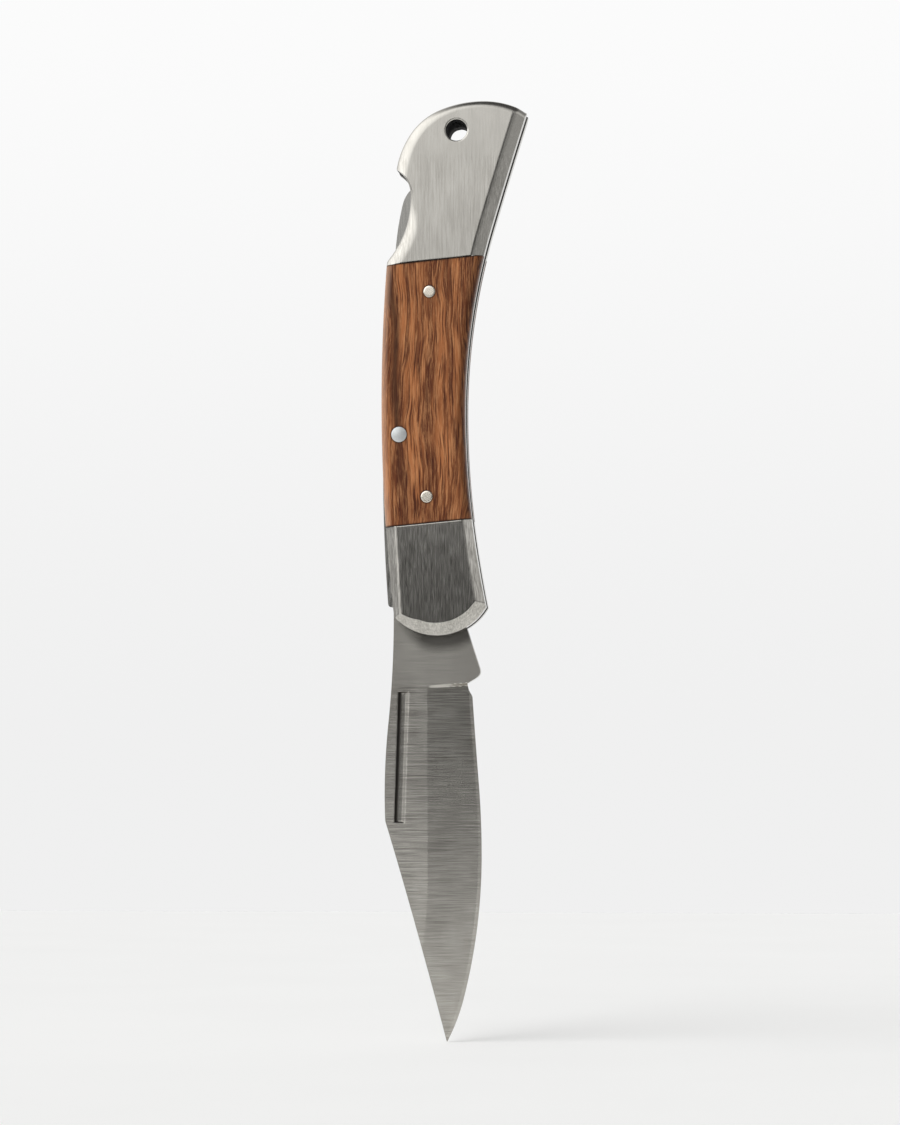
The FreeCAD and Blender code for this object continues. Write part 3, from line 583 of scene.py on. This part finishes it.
def blade_plan():
    """Rows across the blade from the point up to the top of the cam, 0.4 mm apart, and closer together at
    the point, the end of the groove, the plunge and the lock notch. The kick is a parabola."""
    angles = np.radians(np.linspace(0, 90, 40))
    cam_left = np.stack([PIVOT[0] - CAM_RADIUS * np.cos(angles), PIVOT[1] + CAM_RADIUS * np.sin(angles)], 1)
    cam_right = cam_left * (-1, 1) + (2 * PIVOT[0], 0)
    cam_left = cam_left[cam_left[:, 1] > NOTCH_TOP_Z + STEP]
    cam_right = cam_right[angles > math.radians(CAM_END_ANGLE)]
    clip = along(arc_through(SPINE[1], CLIP_MIDDLE, TIP), fine)[::-1]
    spine = along(arc_chain(SHOULDER, -UP, SPINE), fine)[::-1]
    left = [*clip, *spine[1:], (SHOULDER[0], NOTCH_BOTTOM_Z), (NOTCH_SIDE, NOTCH_BOTTOM_Z + STEP),
            (NOTCH_SIDE, NOTCH_TOP_Z), *cam_left]
    kick_down, kick_up = [np.array(KICK) + KICK_ROUND * np.array(way) for way in KICK_SIDES]
    t = np.linspace(0, 1, 12)[:, None]
    kick = (1 - t) ** 2 * kick_down + 2 * t * (1 - t) * np.array(KICK) + t ** 2 * kick_up
    choil = along(arc_through(HEEL, *CHOIL), np.linspace(0, 1, 12))
    right = [*edge_points, *choil[1:], *kick, NECK, *cam_right]
    cam_rows = PIVOT[1] + CAM_RADIUS * np.sin(np.radians(np.linspace(16, 89, 30)))
    z = np.concatenate([np.linspace(TIP[1], TIP[1] + 2, 24),
                        np.arange(TIP[1] + 2.4, PLUNGE_Z - 1, 0.4),
                        np.linspace(GROOVE_END[1] - 0.2, GROOVE_END[1] + 0.5, 6),
                        np.linspace(PLUNGE_Z - 1, PLUNGE_Z + 1.2, 30),
                        np.arange(PLUNGE_Z + 1.4, TANG_ROWS_Z, 0.4),
                        np.linspace(TANG_ROWS_Z, NOTCH_BOTTOM_Z, 8), [NOTCH_BOTTOM_Z + STEP],
                        np.linspace(NOTCH_BOTTOM_Z + 0.5, NOTCH_TOP_Z, 8), [NOTCH_TOP_Z + STEP], cam_rows])
    shares = np.concatenate([np.linspace(0, 0.08, 6), np.linspace(0.09, 0.3, 34),
                             np.linspace(0.305, 0.93, 96), np.linspace(0.935, 1, 18)])
    return between_sides(np.unique(z.round(4)), left, right, shares)


# Hardened steel, ground across on a belt: thin light and dark lines from spine to edge that stretch the
# reflections along the blade and fade to an even satin on the tang. A belt leaves lines some 0.05 mm apart,
# which are drawn 0.2 mm apart so that they show.
ground_blade = steel("cross_ground_blade_steel", "#A19D96", "#DDDAD2", (7.0, 7.0, 0.2), (5.0, 5.0, 10.0),
                     (0.2, 0.26), aniso=0.5, shade_and_oil=marked_shade_and_oil, dull=0.25, top=-108.5)
blade = slab("ground_blade", [blade_plan()], lambda x, z: groove_depth(x, z) - half_thickness(x, z),
             half_thickness, ground_blade, grain=1, marks={"shade_and_oil": blade_shade_and_oil})
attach(blade, "blade")
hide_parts("blade")


# Bolsters: blocks of steel fixed flat onto both ends of each liner and belt-finished along the handle. The
# front one has a flat ground on its back, a bevel on its belly and one round the nose; the rear one a bevel
# on its belly, soft round edges along the butt and the thumb notch, and the lanyard hole.

# Shared by all covers: the outer face, the slanted joints with the wood, broken edges and rows.
COVER_FACE = 5.5
JOINT_SLANT = math.radians(5.3)
FRONT_JOINT = -76.85
REAR_JOINT = -25.25
JOINT_GAP = 0.02
STEEL_BREAK = 0.14
RUN_ON = 4.0
NOT_ABREAST = 99.0
CROWDING = 0.65
# Front bolster: the flat on its back and its two bevels, each with the softness of its crease.
BACK_CREASE = -12.15
CREASE_SLANT = 0.06
CREASE_SOFT = 0.6
SIDE_BEVEL = 1.65
SIDE_SOFT = 0.25
NOSE_BEVEL = 2.1
NOSE_BEVEL_BACK = 0.9
NOSE_BEVEL_RUN = 5.0
NOSE_SOFT = 0.2
# Rear bolster: its bevel, the lanyard hole and the round edges of butt and thumb notch.
BELLY_BEVEL = 1.95
BELLY_SOFT = 0.5
HOLE_RIM = 0.12
HOLE_SOFT = 0.2
HOLE_SHARES = (0.62, 0.9)
HOLE_CROWD = 0.02
BUTT_ROUND = 1.5
THUMB_ROUND = 2.7
THUMB_REACH = (-12.0, 0.0)
THUMB_TOP = -9.0
THUMB_RUN = 13.0
THUMB_LEAST = 0.08
LEAST_COVER = 0.3


def inset(x, z, chain):
    """How far points lie to the left of a chain of arcs, square to it, and a long way where no arc is
    abreast of them. The first and last arcs run on a little, so that shaped edges mitre at a corner."""
    depth = np.full_like(x, NOT_ABREAST)
    for i, (cx, cz, radius, first, turn) in enumerate(chain):
        side = math.copysign(1, radius)
        angle = np.arctan2((z - cz) * side, (x - cx) * side) - first - turn / 2
        share = ((angle + math.pi) % math.tau - math.pi) / turn + 0.5
        spare = abs(RUN_ON / (radius * turn))
        inside = (share >= (-spare if i == 0 else 0)) & (share <= (1 + spare if i == len(chain) - 1 else 1))
        depth = np.where(inside, radius - side * np.hypot(x - cx, z - cz), depth)
    return depth


def below_joint(x, z, joint):
    """How far points lie below a slanted joint that crosses x = 0 at the height joint: the drop from its
    line times the cosine of its slant."""
    return (joint + x * math.tan(JOINT_SLANT) - z) * math.cos(JOINT_SLANT)


def bevelled(d, width):
    """Height of a 45 degree bevel at distance d from the edge, which reaches the face at its width."""
    return COVER_FACE - width + d


def rounded(d, depth, width=None):
    """Height at distance d from a round edge, a quarter of an ellipse that starts depth below the face."""
    width = depth if width is None else width
    return COVER_FACE - depth + depth * np.sqrt(np.maximum(1 - (1 - np.clip(d / width, 0, 1)) ** 2, 0))


def crowded(count):
    """Shares from 0 to 1, closer together at both ends: even steps mixed with half a cosine wave."""
    t = np.linspace(0, 1, count)
    return (1 - CROWDING) * t + CROWDING * (1 - np.cos(math.pi * t)) / 2


def share_at(chain, joint):
    """The share of a chain's length at which it crosses a joint: where it lies 0 below it."""
    points = along(chain, fine)
    offset = below_joint(points[:, 0], points[:, 1], joint)
    order = np.argsort(offset)
    return np.interp(0, offset[order], fine[order])


def fill(left, right, bottom, top, u, v):
    """A plan grid inside four sides: across between left and right, plus up between bottom and top, less
    what both give from the corners alone. Left and right are points at shares v upwards, bottom and top at
    shares u."""
    u, v = u[None, :, None], v[:, None, None]
    across = (1 - u) * left[:, None] + u * right[:, None]
    upward = (1 - v) * bottom[None] + v * top[None]
    corners = (1 - u) * ((1 - v) * left[0] + v * left[-1]) + u * ((1 - v) * right[0] + v * right[-1])
    grid = across + upward - corners
    return grid[..., 0], grid[..., 1]


def straight(a, b, shares):
    """Points from a to b: a plus shares of the way to b."""
    return a + (b - a) * np.asarray(shares)[:, None]


def front_bolster_plan():
    """The nose, filled between back and belly and from its round end to the joint with the wood."""
    u, v = crowded(90), crowded(90)
    back, joint = backwards(BACK), FRONT_JOINT - JOINT_GAP
    left, right = along(back, v * share_at(back, joint)), along(BELLY, v * share_at(BELLY, joint))
    return fill(left, right, along(NOSE, u), straight(left[-1], right[-1], u), u, v)


def front_bolster_height(x, z):
    """Face of the front bolster, cut by its flat, its two bevels and a broken edge along the joint."""
    crease = BACK_CREASE + CREASE_SLANT * (FRONT_JOINT - z)
    height = soft_min(np.full_like(x, COVER_FACE), COVER_FACE + x - crease, CREASE_SOFT)
    height = soft_min(height, bevelled(inset(x, z, BELLY), SIDE_BEVEL), SIDE_SOFT)
    width = np.interp(x, (NOSE_BACK[0], NOSE_BACK[0] + NOSE_BEVEL_RUN), (NOSE_BEVEL_BACK, NOSE_BEVEL))
    height = soft_min(height, bevelled(inset(x, z, NOSE), width), NOSE_SOFT)
    return np.minimum(height, rounded(below_joint(x, z, FRONT_JOINT - JOINT_GAP), STEEL_BREAK))


def hole_line(v, side):
    """The line that parts the rear bolster's plans: up from the joint, half round the hole, to the butt."""
    low, high = HOLE_SHARES
    start = REAR_JOINT + JOINT_GAP
    butt = along(BUTT, fine)[::-1]
    top = np.interp(0, butt[:, 0], butt[:, 1])
    angle = math.pi * np.clip((v - low) / (high - low), 0, 1)
    above = HOLE_RADIUS + (top - HOLE_RADIUS) * (v - high) / (1 - high)
    z = np.where(v < low, start + (-HOLE_RADIUS - start) * v / low,
                 np.where(v > high, above, -HOLE_RADIUS * np.cos(angle)))
    return np.stack([side * HOLE_RADIUS * np.sin(angle), z], 1)


def rear_bolster_plans():
    """The butt in two plans that meet above and below the lanyard hole, with rows closer together at the
    joint, at both ends of the hole and under the butt."""
    low, high = HOLE_SHARES
    last = high + HOLE_CROWD
    ends = (0, HOLE_CROWD, low - HOLE_CROWD, low, high, last)
    rows = [np.linspace(a, b, count)[:-1] for a, b, count in zip(ends, ends[1:], (8, 62, 14, 56, 10))]
    v = np.concatenate(rows + [last + (1 - last) * np.sin(np.linspace(0, math.pi / 2, 30))])
    u = crowded(80)
    joint = REAR_JOINT + JOINT_GAP
    (cx, cz, radius, first, turn), = BACK
    start, end = share_at(BACK, joint), np.interp(-NOTCH_FOOT_Z, -back_points[:, 1], fine)
    stub = [(cx, cz, radius, first + end * turn, (start - end) * turn)]
    left = along(backwards(NOTCH + stub), v)
    belly_start = share_at(BELLY, joint)
    right = along(BELLY, belly_start + (1 - belly_start) * v)
    over = backwards(BUTT)
    parting = np.interp(0, along(over, fine)[:, 0], fine)
    near_left, near_right = hole_line(v, -1), hole_line(v, 1)
    return [fill(left, near_left, straight(left[0], near_left[0], u), along(over, parting * u), u, v),
            fill(near_right, right, straight(near_right[0], right[0], u),
                 along(over, parting + (1 - parting) * u), u, v)]


def rear_bolster_height(x, z):
    """Face of the rear bolster, cut by its bevel and the broken rim of the hole. The round edges of the
    butt, the notch and the back are taken off together, as the cube root of their falls cubed, and those of
    the notch and the back shrink towards the beak. Last comes a broken edge along the joint."""
    height = soft_min(np.full_like(x, COVER_FACE), bevelled(inset(x, z, BELLY), BELLY_BEVEL), BELLY_SOFT)
    height = soft_min(height, COVER_FACE - HOLE_RIM + np.hypot(x, z) - HOLE_RADIUS, HOLE_SOFT)
    width = np.interp(x, THUMB_REACH, (THUMB_ROUND, BUTT_ROUND))
    below = np.clip((THUMB_TOP - z) / THUMB_RUN, 0, 1)
    shrink = THUMB_LEAST + (1 - THUMB_LEAST) * below ** 2 * (3 - 2 * below)
    edges = ((BUTT, BUTT_ROUND, width), (NOTCH, BUTT_ROUND * shrink, THUMB_ROUND * shrink),
             (BACK, BUTT_ROUND * shrink, THUMB_ROUND * shrink))
    falls = [COVER_FACE - rounded(inset(x, z, chain), deep, wide) for chain, deep, wide in edges]
    height = np.maximum(height - sum(fall ** 3 for fall in falls) ** (1 / 3), LINER_FACE + LEAST_COVER)
    return np.minimum(height, rounded(-below_joint(x, z, REAR_JOINT + JOINT_GAP), STEEL_BREAK))


# Satin steel from a fine belt: pale, with even upright lines that stretch the reflections across the handle
# and fade out above the lanyard hole. They are drawn 0.3 mm apart, coarser than real ones, to show.
satin_steel = steel("satin_belt_finished_steel", "#A9A69F", "#D3D0C9", (0.3, 0.3, 5.0), (4.0, 4.0, 8.0),
                    (0.18, 0.26), aniso=0.75, depth=0.0006, top=-4.5)
# The same satin rubbed by hands and pockets: shorter lines with more contrast, drawn 0.25 mm apart to show.
rubbed_steel = steel("rubbed_satin_steel", "#8F8C85", "#DFDCD5", (0.25, 0.25, 3.0), (3.0, 3.0, 8.0),
                     (0.18, 0.22), aniso=0.75, depth=0.0004)
for side, sign in SIDES.items():
    nose = slab(f"front_bolster_{side}_steel", [front_bolster_plan()],
                *on_side(sign, front_bolster_height, LINER_FACE), rubbed_steel)
    butt = slab(f"rear_bolster_{side}_steel", rear_bolster_plans(),
                *on_side(sign, rear_bolster_height, LINER_FACE), satin_steel)
    for piece, cad in ((nose, f"front_bolster_{side}"), (butt, f"rear_bolster_{side}")):
        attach(piece, "handle")
        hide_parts(cad)


# Scales: reddish brown hardwood between the bolsters, pinned to the liners, its grain along the handle.
# Both long edges were rounded by hand, and a fine dark line of glue and dirt shows at each joint and round
# each pin.

# Edges of the wood, its pins, dirt, painted shade along the belly and a painted highlight along the back,
# then the wander of the grain and one dark streak in it.
SCALE_ROUND = 1.5
WOOD_BREAK = 0.1
SEAM = 0.35
UPPER_PIN = (-5.35, -31.9)
LOWER_PIN = (-5.85, -72.24)
SCALE_PIN_RADIUS = 1.125
ROCKER_PIN_RADIUS = 1.5
BELLY_SHADE = 0.5
BELLY_SHADE_WIDTH = 2.6
EDGE_HIGHLIGHT_SHARE = 0.6
EDGE_HIGHLIGHT_REACH = 1.44
EDGE_HIGHLIGHT_WIDTH = 1.2
WANDER = 1.0
PORE_DEPTH = 0.03
STREAK_X = -16.4
STREAK_SLOPE = 0.091
STREAK_HALF = (0.2, 1.1)
STREAK_RUN = (-64.0, -57.0)
STREAK_SHARES = (0.3, 0.8)


def scale_plan():
    """The wood, filled between back and belly and from joint to joint."""
    u, v = crowded(110), crowded(300)
    low, high = FRONT_JOINT + JOINT_GAP, REAR_JOINT - JOINT_GAP
    sides = []
    for chain in (backwards(BACK), BELLY):
        start, end = share_at(chain, low), share_at(chain, high)
        sides.append(along(chain, start + (end - start) * v))
    left, right = sides
    return fill(left, right, straight(left[0], right[0], u), straight(left[-1], right[-1], u), u, v)


def joint_distance(x, z):
    """Distance from the nearer of the two joints."""
    from_rear = below_joint(x, z, REAR_JOINT - JOINT_GAP)
    from_front = -below_joint(x, z, FRONT_JOINT + JOINT_GAP)
    return np.minimum(from_rear, from_front)


def scale_height(x, z):
    """Face of the scale with its two round edges and a broken edge along both joints."""
    height = np.minimum(rounded(inset(x, z, BACK), SCALE_ROUND), rounded(inset(x, z, BELLY), SCALE_ROUND))
    return np.minimum(height, rounded(joint_distance(x, z), WOOD_BREAK))


def dirt_and_shade_share(x, y, z):
    """Dirt in the joints and in a ring round each pin, fading over the width of the seam, and a broad band
    of painted shade along the belly."""
    gaps = [joint_distance(x, z)]
    pins = ((UPPER_PIN, SCALE_PIN_RADIUS), (LOWER_PIN, SCALE_PIN_RADIUS), (ROCKER, ROCKER_PIN_RADIUS))
    for place, radius in pins:
        gaps.append(np.abs(np.hypot(x - place[0], z - place[1]) - radius))
    darkened = BELLY_SHADE * np.clip(1 - inset(x, z, BELLY) / BELLY_SHADE_WIDTH, 0, 1)
    return np.maximum(np.clip(1 - np.minimum.reduce(gaps) / SEAM, 0, 1), darkened)


def edge_highlight_share(x, y, z):
    """A painted highlight along the round edge of the back, fading towards the liner."""
    out = np.clip((np.abs(y) - LINER_FACE) / (COVER_FACE - SCALE_ROUND - LINER_FACE), 0, 1)
    return EDGE_HIGHLIGHT_SHARE * out * np.clip((EDGE_HIGHLIGHT_REACH - inset(x, z, BACK)) / EDGE_HIGHLIGHT_WIDTH, 0, 1)


def oiled_wood():
    """Hardwood: broad bands of colour, streaks, fibres and short dark pores, all drawn out along z and
    wandering sideways. Each layer covers the ones before by a share that grows between two values. One dark
    streak follows a slanted line beside the back and fades on both sides of it."""
    material, tree, shader = new_material("oiled_brown_hardwood")
    place = node(tree, "TexCoord").outputs["Object"]
    drift = pattern(tree, place, (9, 9, 18))
    drift = node(tree, "MapRange", {0: drift, 1: 0.2, 2: 0.8, 3: -WANDER * MM, 4: WANDER * MM}).outputs[0]
    wander = node(tree, "CombineXYZ", {0: drift}).outputs[0]
    grain = node(tree, "VectorMath", {0: place, 1: wander}, operation="ADD").outputs[0]
    bands = pattern(tree, grain, (3.2, 5, 30), detail=3.0, rough=0.6)
    streaks = pattern(tree, grain, (0.7, 3, 20), detail=4.0, rough=0.65)
    fibres = pattern(tree, grain, (0.25, 1, 4.0), detail=4.0, rough=0.7)
    pores = pattern(tree, grain, (0.26, 0.6, 7.0), detail=3.0)
    x, _, z = node(tree, "SeparateXYZ", {0: grain}).outputs
    off = node(tree, "Math", {0: z, 1: STREAK_SLOPE, 2: x}, operation="MULTIPLY_ADD").outputs[0]
    off = node(tree, "Math", {0: off, 1: -STREAK_X * MM}, operation="ADD").outputs[0]
    off = node(tree, "Math", {0: off}, operation="ABSOLUTE").outputs[0]
    near, far = STREAK_HALF
    across = node(tree, "MapRange", {0: off, 1: near * MM, 2: far * MM, 3: 1.0, 4: 0.0}).outputs[0]
    (low, high), (faint, strong) = STREAK_RUN, STREAK_SHARES
    upward = node(tree, "MapRange", {0: z, 1: low * MM, 2: high * MM, 3: faint, 4: strong}).outputs[0]
    dark = node(tree, "Math", {0: across, 1: upward}, operation="MULTIPLY").outputs[0]
    # One mark holds dirt in the joints and round the pins with painted shade along the belly, the other a
    # painted highlight along the back.
    edge_highlight, dirt_and_shade = [node(tree, "Attribute", attribute_name=mark).outputs["Fac"] for mark in ("edge_highlight", "dirt_and_shade")]
    layers = ((bands, 0.4, 0.6, 1.0, "#AC6C41"), (streaks, 0.48, 0.6, 0.9, "#512714"),
              (fibres, 0.46, 0.66, 0.75, "#C68B5C"), (dark, 0.0, 1.0, 1.0, "#3A2012"),
              (pores, 0.54, 0.64, 0.85, "#431E0E"), (edge_highlight, 0.0, 1.0, 1.0, "#BC967C"),
              (dirt_and_shade, 0.0, 1.0, 1.0, "#22120B"))
    colour = "#5E3018"
    for value, low, high, most, tone in layers:
        share = node(tree, "MapRange", {0: value, 1: low, 2: high, 4: most}).outputs[0]
        colour = node(tree, "Mix", {0: share, 6: colour, 7: tone}, data_type="RGBA").outputs[2]
    sheen = node(tree, "MapRange", {0: fibres, 1: 0.3, 2: 0.7, 3: 0.36, 4: 0.5}).outputs[0]
    relief = node(tree, "MapRange", {0: pores, 1: 0.55, 2: 0.72, 3: 1.0, 4: 0.0}).outputs[0]
    bump = node(tree, "Bump", {"Height": relief, "Strength": 0.6, "Distance": PORE_DEPTH * MM})
    tree.links.new(colour, shader.inputs["Base Color"])
    tree.links.new(sheen, shader.inputs["Roughness"])
    tree.links.new(bump.outputs[0], shader.inputs["Normal"])
    shader.inputs["Specular IOR Level"].default_value = 0.2
    return material


# Oiled hardwood: warm brown stripes with dark pores and a low satin sheen, a painted highlight along the
# back and painted shade along the belly. Real pores and fibres are about 0.1 mm wide and are drawn 0.25 mm
# wide so that they show.
wood = oiled_wood()
for side, sign in SIDES.items():
    scale = slab(f"scale_{side}_wood", [scale_plan()], *on_side(sign, scale_height, LINER_FACE), wood,
                 marks={"dirt_and_shade": dirt_and_shade_share, "edge_highlight": edge_highlight_share})
    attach(scale, "handle")
    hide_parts(f"scale_{side}")


# Pins: short aluminium pins through each scale, with pale heads, and one thicker steel pin that the lock
# bar rocks on. All heads were peened and sanded to low domes.

# How far a head rises, and the power that it falls with.
SCALE_PIN_HEAD = (0.04, 10)
ROCKER_PIN_HEAD = (0.15, 2)


def disc_plan(centre, radius):
    """Rings round a centre, from a point outwards: the centre plus a radius times cosine and sine."""
    r, a = np.meshgrid(radius * np.linspace(0, 1, 16), np.linspace(math.tau, 0, 65), indexing="ij")
    return centre[0] + r * np.cos(a), centre[1] + r * np.sin(a)


def domed(centre, radius, rise, power):
    """A low head that ends level with the cover's face. It falls from its rise with a power of the share of
    the radius: the square makes a dome, a high power a head that is flat nearly to its rim."""
    return lambda x, z: COVER_FACE + rise * (1 - (np.hypot(x - centre[0], z - centre[1]) / radius) ** power)


# Sanded aluminium: nearly white, even and softly shining. Its scratches are drawn as a faint mottle 0.5 mm
# wide, coarser than real ones.
sanded_aluminium = steel("sanded_aluminium", "#FAF1E1", "#FFF8EA", (0.5, 0.5, 0.5), (2.0, 2.0, 2.0),
                         (0.26, 0.28), depth=0.00002)
# Peened steel: pale grey and matt, with the faint dapple of a hammered head.
peened_steel = steel("peened_steel", "#D2D6D6", "#E6E8E7", (0.3, 0.3, 0.3), (1.5, 1.5, 1.5), (0.4, 0.44),
                     depth=0.0004)
for side, sign in SIDES.items():
    for height, place in (("upper", UPPER_PIN), ("lower", LOWER_PIN)):
        head = domed(place, SCALE_PIN_RADIUS, *SCALE_PIN_HEAD)
        pin = slab(f"scale_pin_{side}_{height}_head", [disc_plan(place, SCALE_PIN_RADIUS)],
                   *on_side(sign, head, HALF_SLOT), sanded_aluminium)
        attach(pin, "handle")
        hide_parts(f"scale_pin_{side}_{height}")
head = domed(ROCKER, ROCKER_PIN_RADIUS, *ROCKER_PIN_HEAD)
pin = slab("rocker_pin_heads", [disc_plan(ROCKER, ROCKER_PIN_RADIUS)], lambda x, z: -head(x, z), head,
           peened_steel)
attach(pin, "handle")
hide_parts("rocker_pin")


# Studio: a white table top under the point, a pale backdrop, soft light from the upper left and a dark band
# low in front, behind the camera, which the upright steel faces mirror.

FLOOR_Z = TIP[1]
FLOOR_SIZE = 1300
FLOOR_LIFT = 0.05
FLOOR_MOTTLE = (60, 60, 60)
SUN_FROM = (-0.75, -0.5, 0.75)
SUN_STRENGTH = 1.4
SUN_SPREAD = 60.0
# Stops are pairs of a direction's x, y or z and the linear grey that is seen there, and the merges are the
# ranges of directions over which one part of the room passes into the next.
LOW_LEFT = [(-1, 0.05), (-0.92, 0.12), (-0.6, 1.1), (-0.2, 0.45), (0.3, 0.5), (0.6, 0.88), (1, 0.88)]
LOW_RIGHT = [(-1, 0.04), (-0.9, 0.08), (-0.78, 0.36), (-0.5, 0.28), (-0.15, 0.44), (0.3, 0.5), (0.6, 0.88),
             (1, 0.88)]
HIGH_FRONT = [(-1, 1.6), (-0.65, 1.95), (-0.3, 1.65), (-0.12, 1.25), (0.03, 0.6), (0.13, 0.2), (0.55, 0.45),
              (0.85, 0.25), (0.93, 0.7), (1, 0.75)]
BACKDROP = [(-1, 0.87), (0.0, 0.87), (0.25, 0.97), (1, 0.97)]
HIGH_BACK = "#F0F0F0"
CEILING = "#505050"
CEILING_LEAN = 0.35
SIDES_MERGE = (-0.15, 0.15)
BACK_MERGE = (0.1, 0.5)
HIGH_MERGE = (0.085, 0.15)
CEILING_MERGE = (0.62, 0.85)

# Matt white board: without shine, even but for a faint broad mottle, and lifted a little where the camera
# or the steel sees it.
matt_white, tree, shader = new_material("matt_white_table")
place = node(tree, "TexCoord").outputs["Object"]
mottle = pattern(tree, place, FLOOR_MOTTLE)
board = node(tree, "Mix", {0: mottle, 6: "#F1F1F0", 7: "#F4F4F3"}, data_type="RGBA").outputs[2]
tree.links.new(board, shader.inputs["Base Color"])
shader.inputs["Roughness"].default_value = 0.6
shader.inputs["Specular IOR Level"].default_value = 0.0
rays = node(tree, "LightPath").outputs
shown = node(tree, "Math", {0: rays["Is Camera Ray"], 1: rays["Is Glossy Ray"]}, operation="MAXIMUM")
lift = node(tree, "Math", {0: shown.outputs[0], 1: FLOOR_LIFT}, operation="MULTIPLY")
tree.links.new(lift.outputs[0], shader.inputs["Emission Strength"])
shader.inputs["Emission Color"].default_value = (1, 1, 1, 1)
floor_mesh = bpy.data.meshes.new("table_top")
corners = np.array([(-1, -1, 0), (1, -1, 0), (1, 1, 0), (-1, 1, 0)]) * FLOOR_SIZE / 2 + (0, 0, FLOOR_Z)
floor_mesh.from_pydata((corners * MM).tolist(), [], [(0, 1, 2, 3)])
floor_mesh.materials.append(matt_white)
floor = bpy.data.objects.new("table_top", floor_mesh)
bpy.context.scene.collection.objects.link(floor)

lamp = bpy.data.lights.new("soft_window", "SUN")
lamp.energy = SUN_STRENGTH
lamp.angle = math.radians(SUN_SPREAD)
window = bpy.data.objects.new("soft_window", lamp)
window.rotation_mode = "QUATERNION"
window.rotation_quaternion = Vector(SUN_FROM).to_track_quat("Z", "Y")
window.visible_glossy = False
bpy.context.scene.collection.objects.link(window)


def greys(tree, value, stops):
    """A soft ramp of greys over a value from -1 to 1, as (value, linear grey) stops."""
    share = node(tree, "MapRange", {0: value, 1: -1.0, 2: 1.0}).outputs[0]
    ramp = node(tree, "ValToRGB", {0: share})
    ramp.color_ramp.interpolation = "EASE"
    while len(ramp.color_ramp.elements) < len(stops):
        ramp.color_ramp.elements.new(1.0)
    for element, (at, grey) in zip(ramp.color_ramp.elements, stops):
        element.position, element.color = (at + 1) / 2, (grey, grey, grey, 1)
    return ramp.outputs[0]


def merged(tree, value, merge, a, b):
    """Light a, passing into light b as a value of the direction runs through a range."""
    share = node(tree, "MapRange", {0: value, 1: merge[0], 2: merge[1]}).outputs[0]
    return node(tree, "Mix", {0: share, 6: a, 7: b}, data_type="RGBA").outputs[2]


world = bpy.data.worlds.new("studio")
bpy.context.scene.world = world
world.use_nodes = True
tree = world.node_tree
tree.nodes.clear()
towards = node(tree, "TexCoord").outputs["Generated"]
x, y, z = node(tree, "SeparateXYZ", {0: towards}).outputs
low = merged(tree, x, SIDES_MERGE, greys(tree, y, LOW_LEFT), greys(tree, y, LOW_RIGHT))
high = merged(tree, y, BACK_MERGE, greys(tree, x, HIGH_FRONT), HIGH_BACK)
walls = merged(tree, z, HIGH_MERGE, low, high)
lean = node(tree, "Math", {0: x, 1: CEILING_LEAN, 2: z}, operation="MULTIPLY_ADD").outputs[0]
studio = merged(tree, lean, CEILING_MERGE, walls, CEILING)
seen = node(tree, "LightPath").outputs["Is Camera Ray"]
sight = node(tree, "Mix", {0: seen, 6: studio, 7: greys(tree, z, BACKDROP)}, data_type="RGBA").outputs[2]
light = node(tree, "Background", {"Color": sight, "Strength": 1.0})
node(tree, "OutputWorld", {"Surface": light.outputs[0]})


# Camera: it stands below the middle of the knife, a little to its right, and looks slightly up, as in the
# photograph. The long lens keeps the upright lines nearly parallel.

CAMERA_PLACE = (59.825, -663.979, -127.456)
CAMERA_LENS = 108.8
CAMERA_SENSOR = 36.0
CAMERA_YAW = 5.3
CAMERA_PITCH = 3.66

view = bpy.data.cameras.new("camera")
view.lens = CAMERA_LENS
view.sensor_width = CAMERA_SENSOR
view.sensor_fit = "AUTO"
view.clip_start, view.clip_end = 0.01, 50
camera = bpy.data.objects.new("camera", view)
yaw, pitch = math.radians(CAMERA_YAW), math.radians(CAMERA_PITCH)
forward = Vector((-math.sin(yaw) * math.cos(pitch), math.cos(yaw) * math.cos(pitch), math.sin(pitch)))
camera.location = Vector(CAMERA_PLACE) * MM
camera.rotation_mode = "QUATERNION"
camera.rotation_quaternion = forward.to_track_quat("-Z", "Y")
bpy.context.scene.collection.objects.link(camera)
bpy.context.scene.camera = camera
bpy.context.scene.view_settings.view_transform = "Standard"
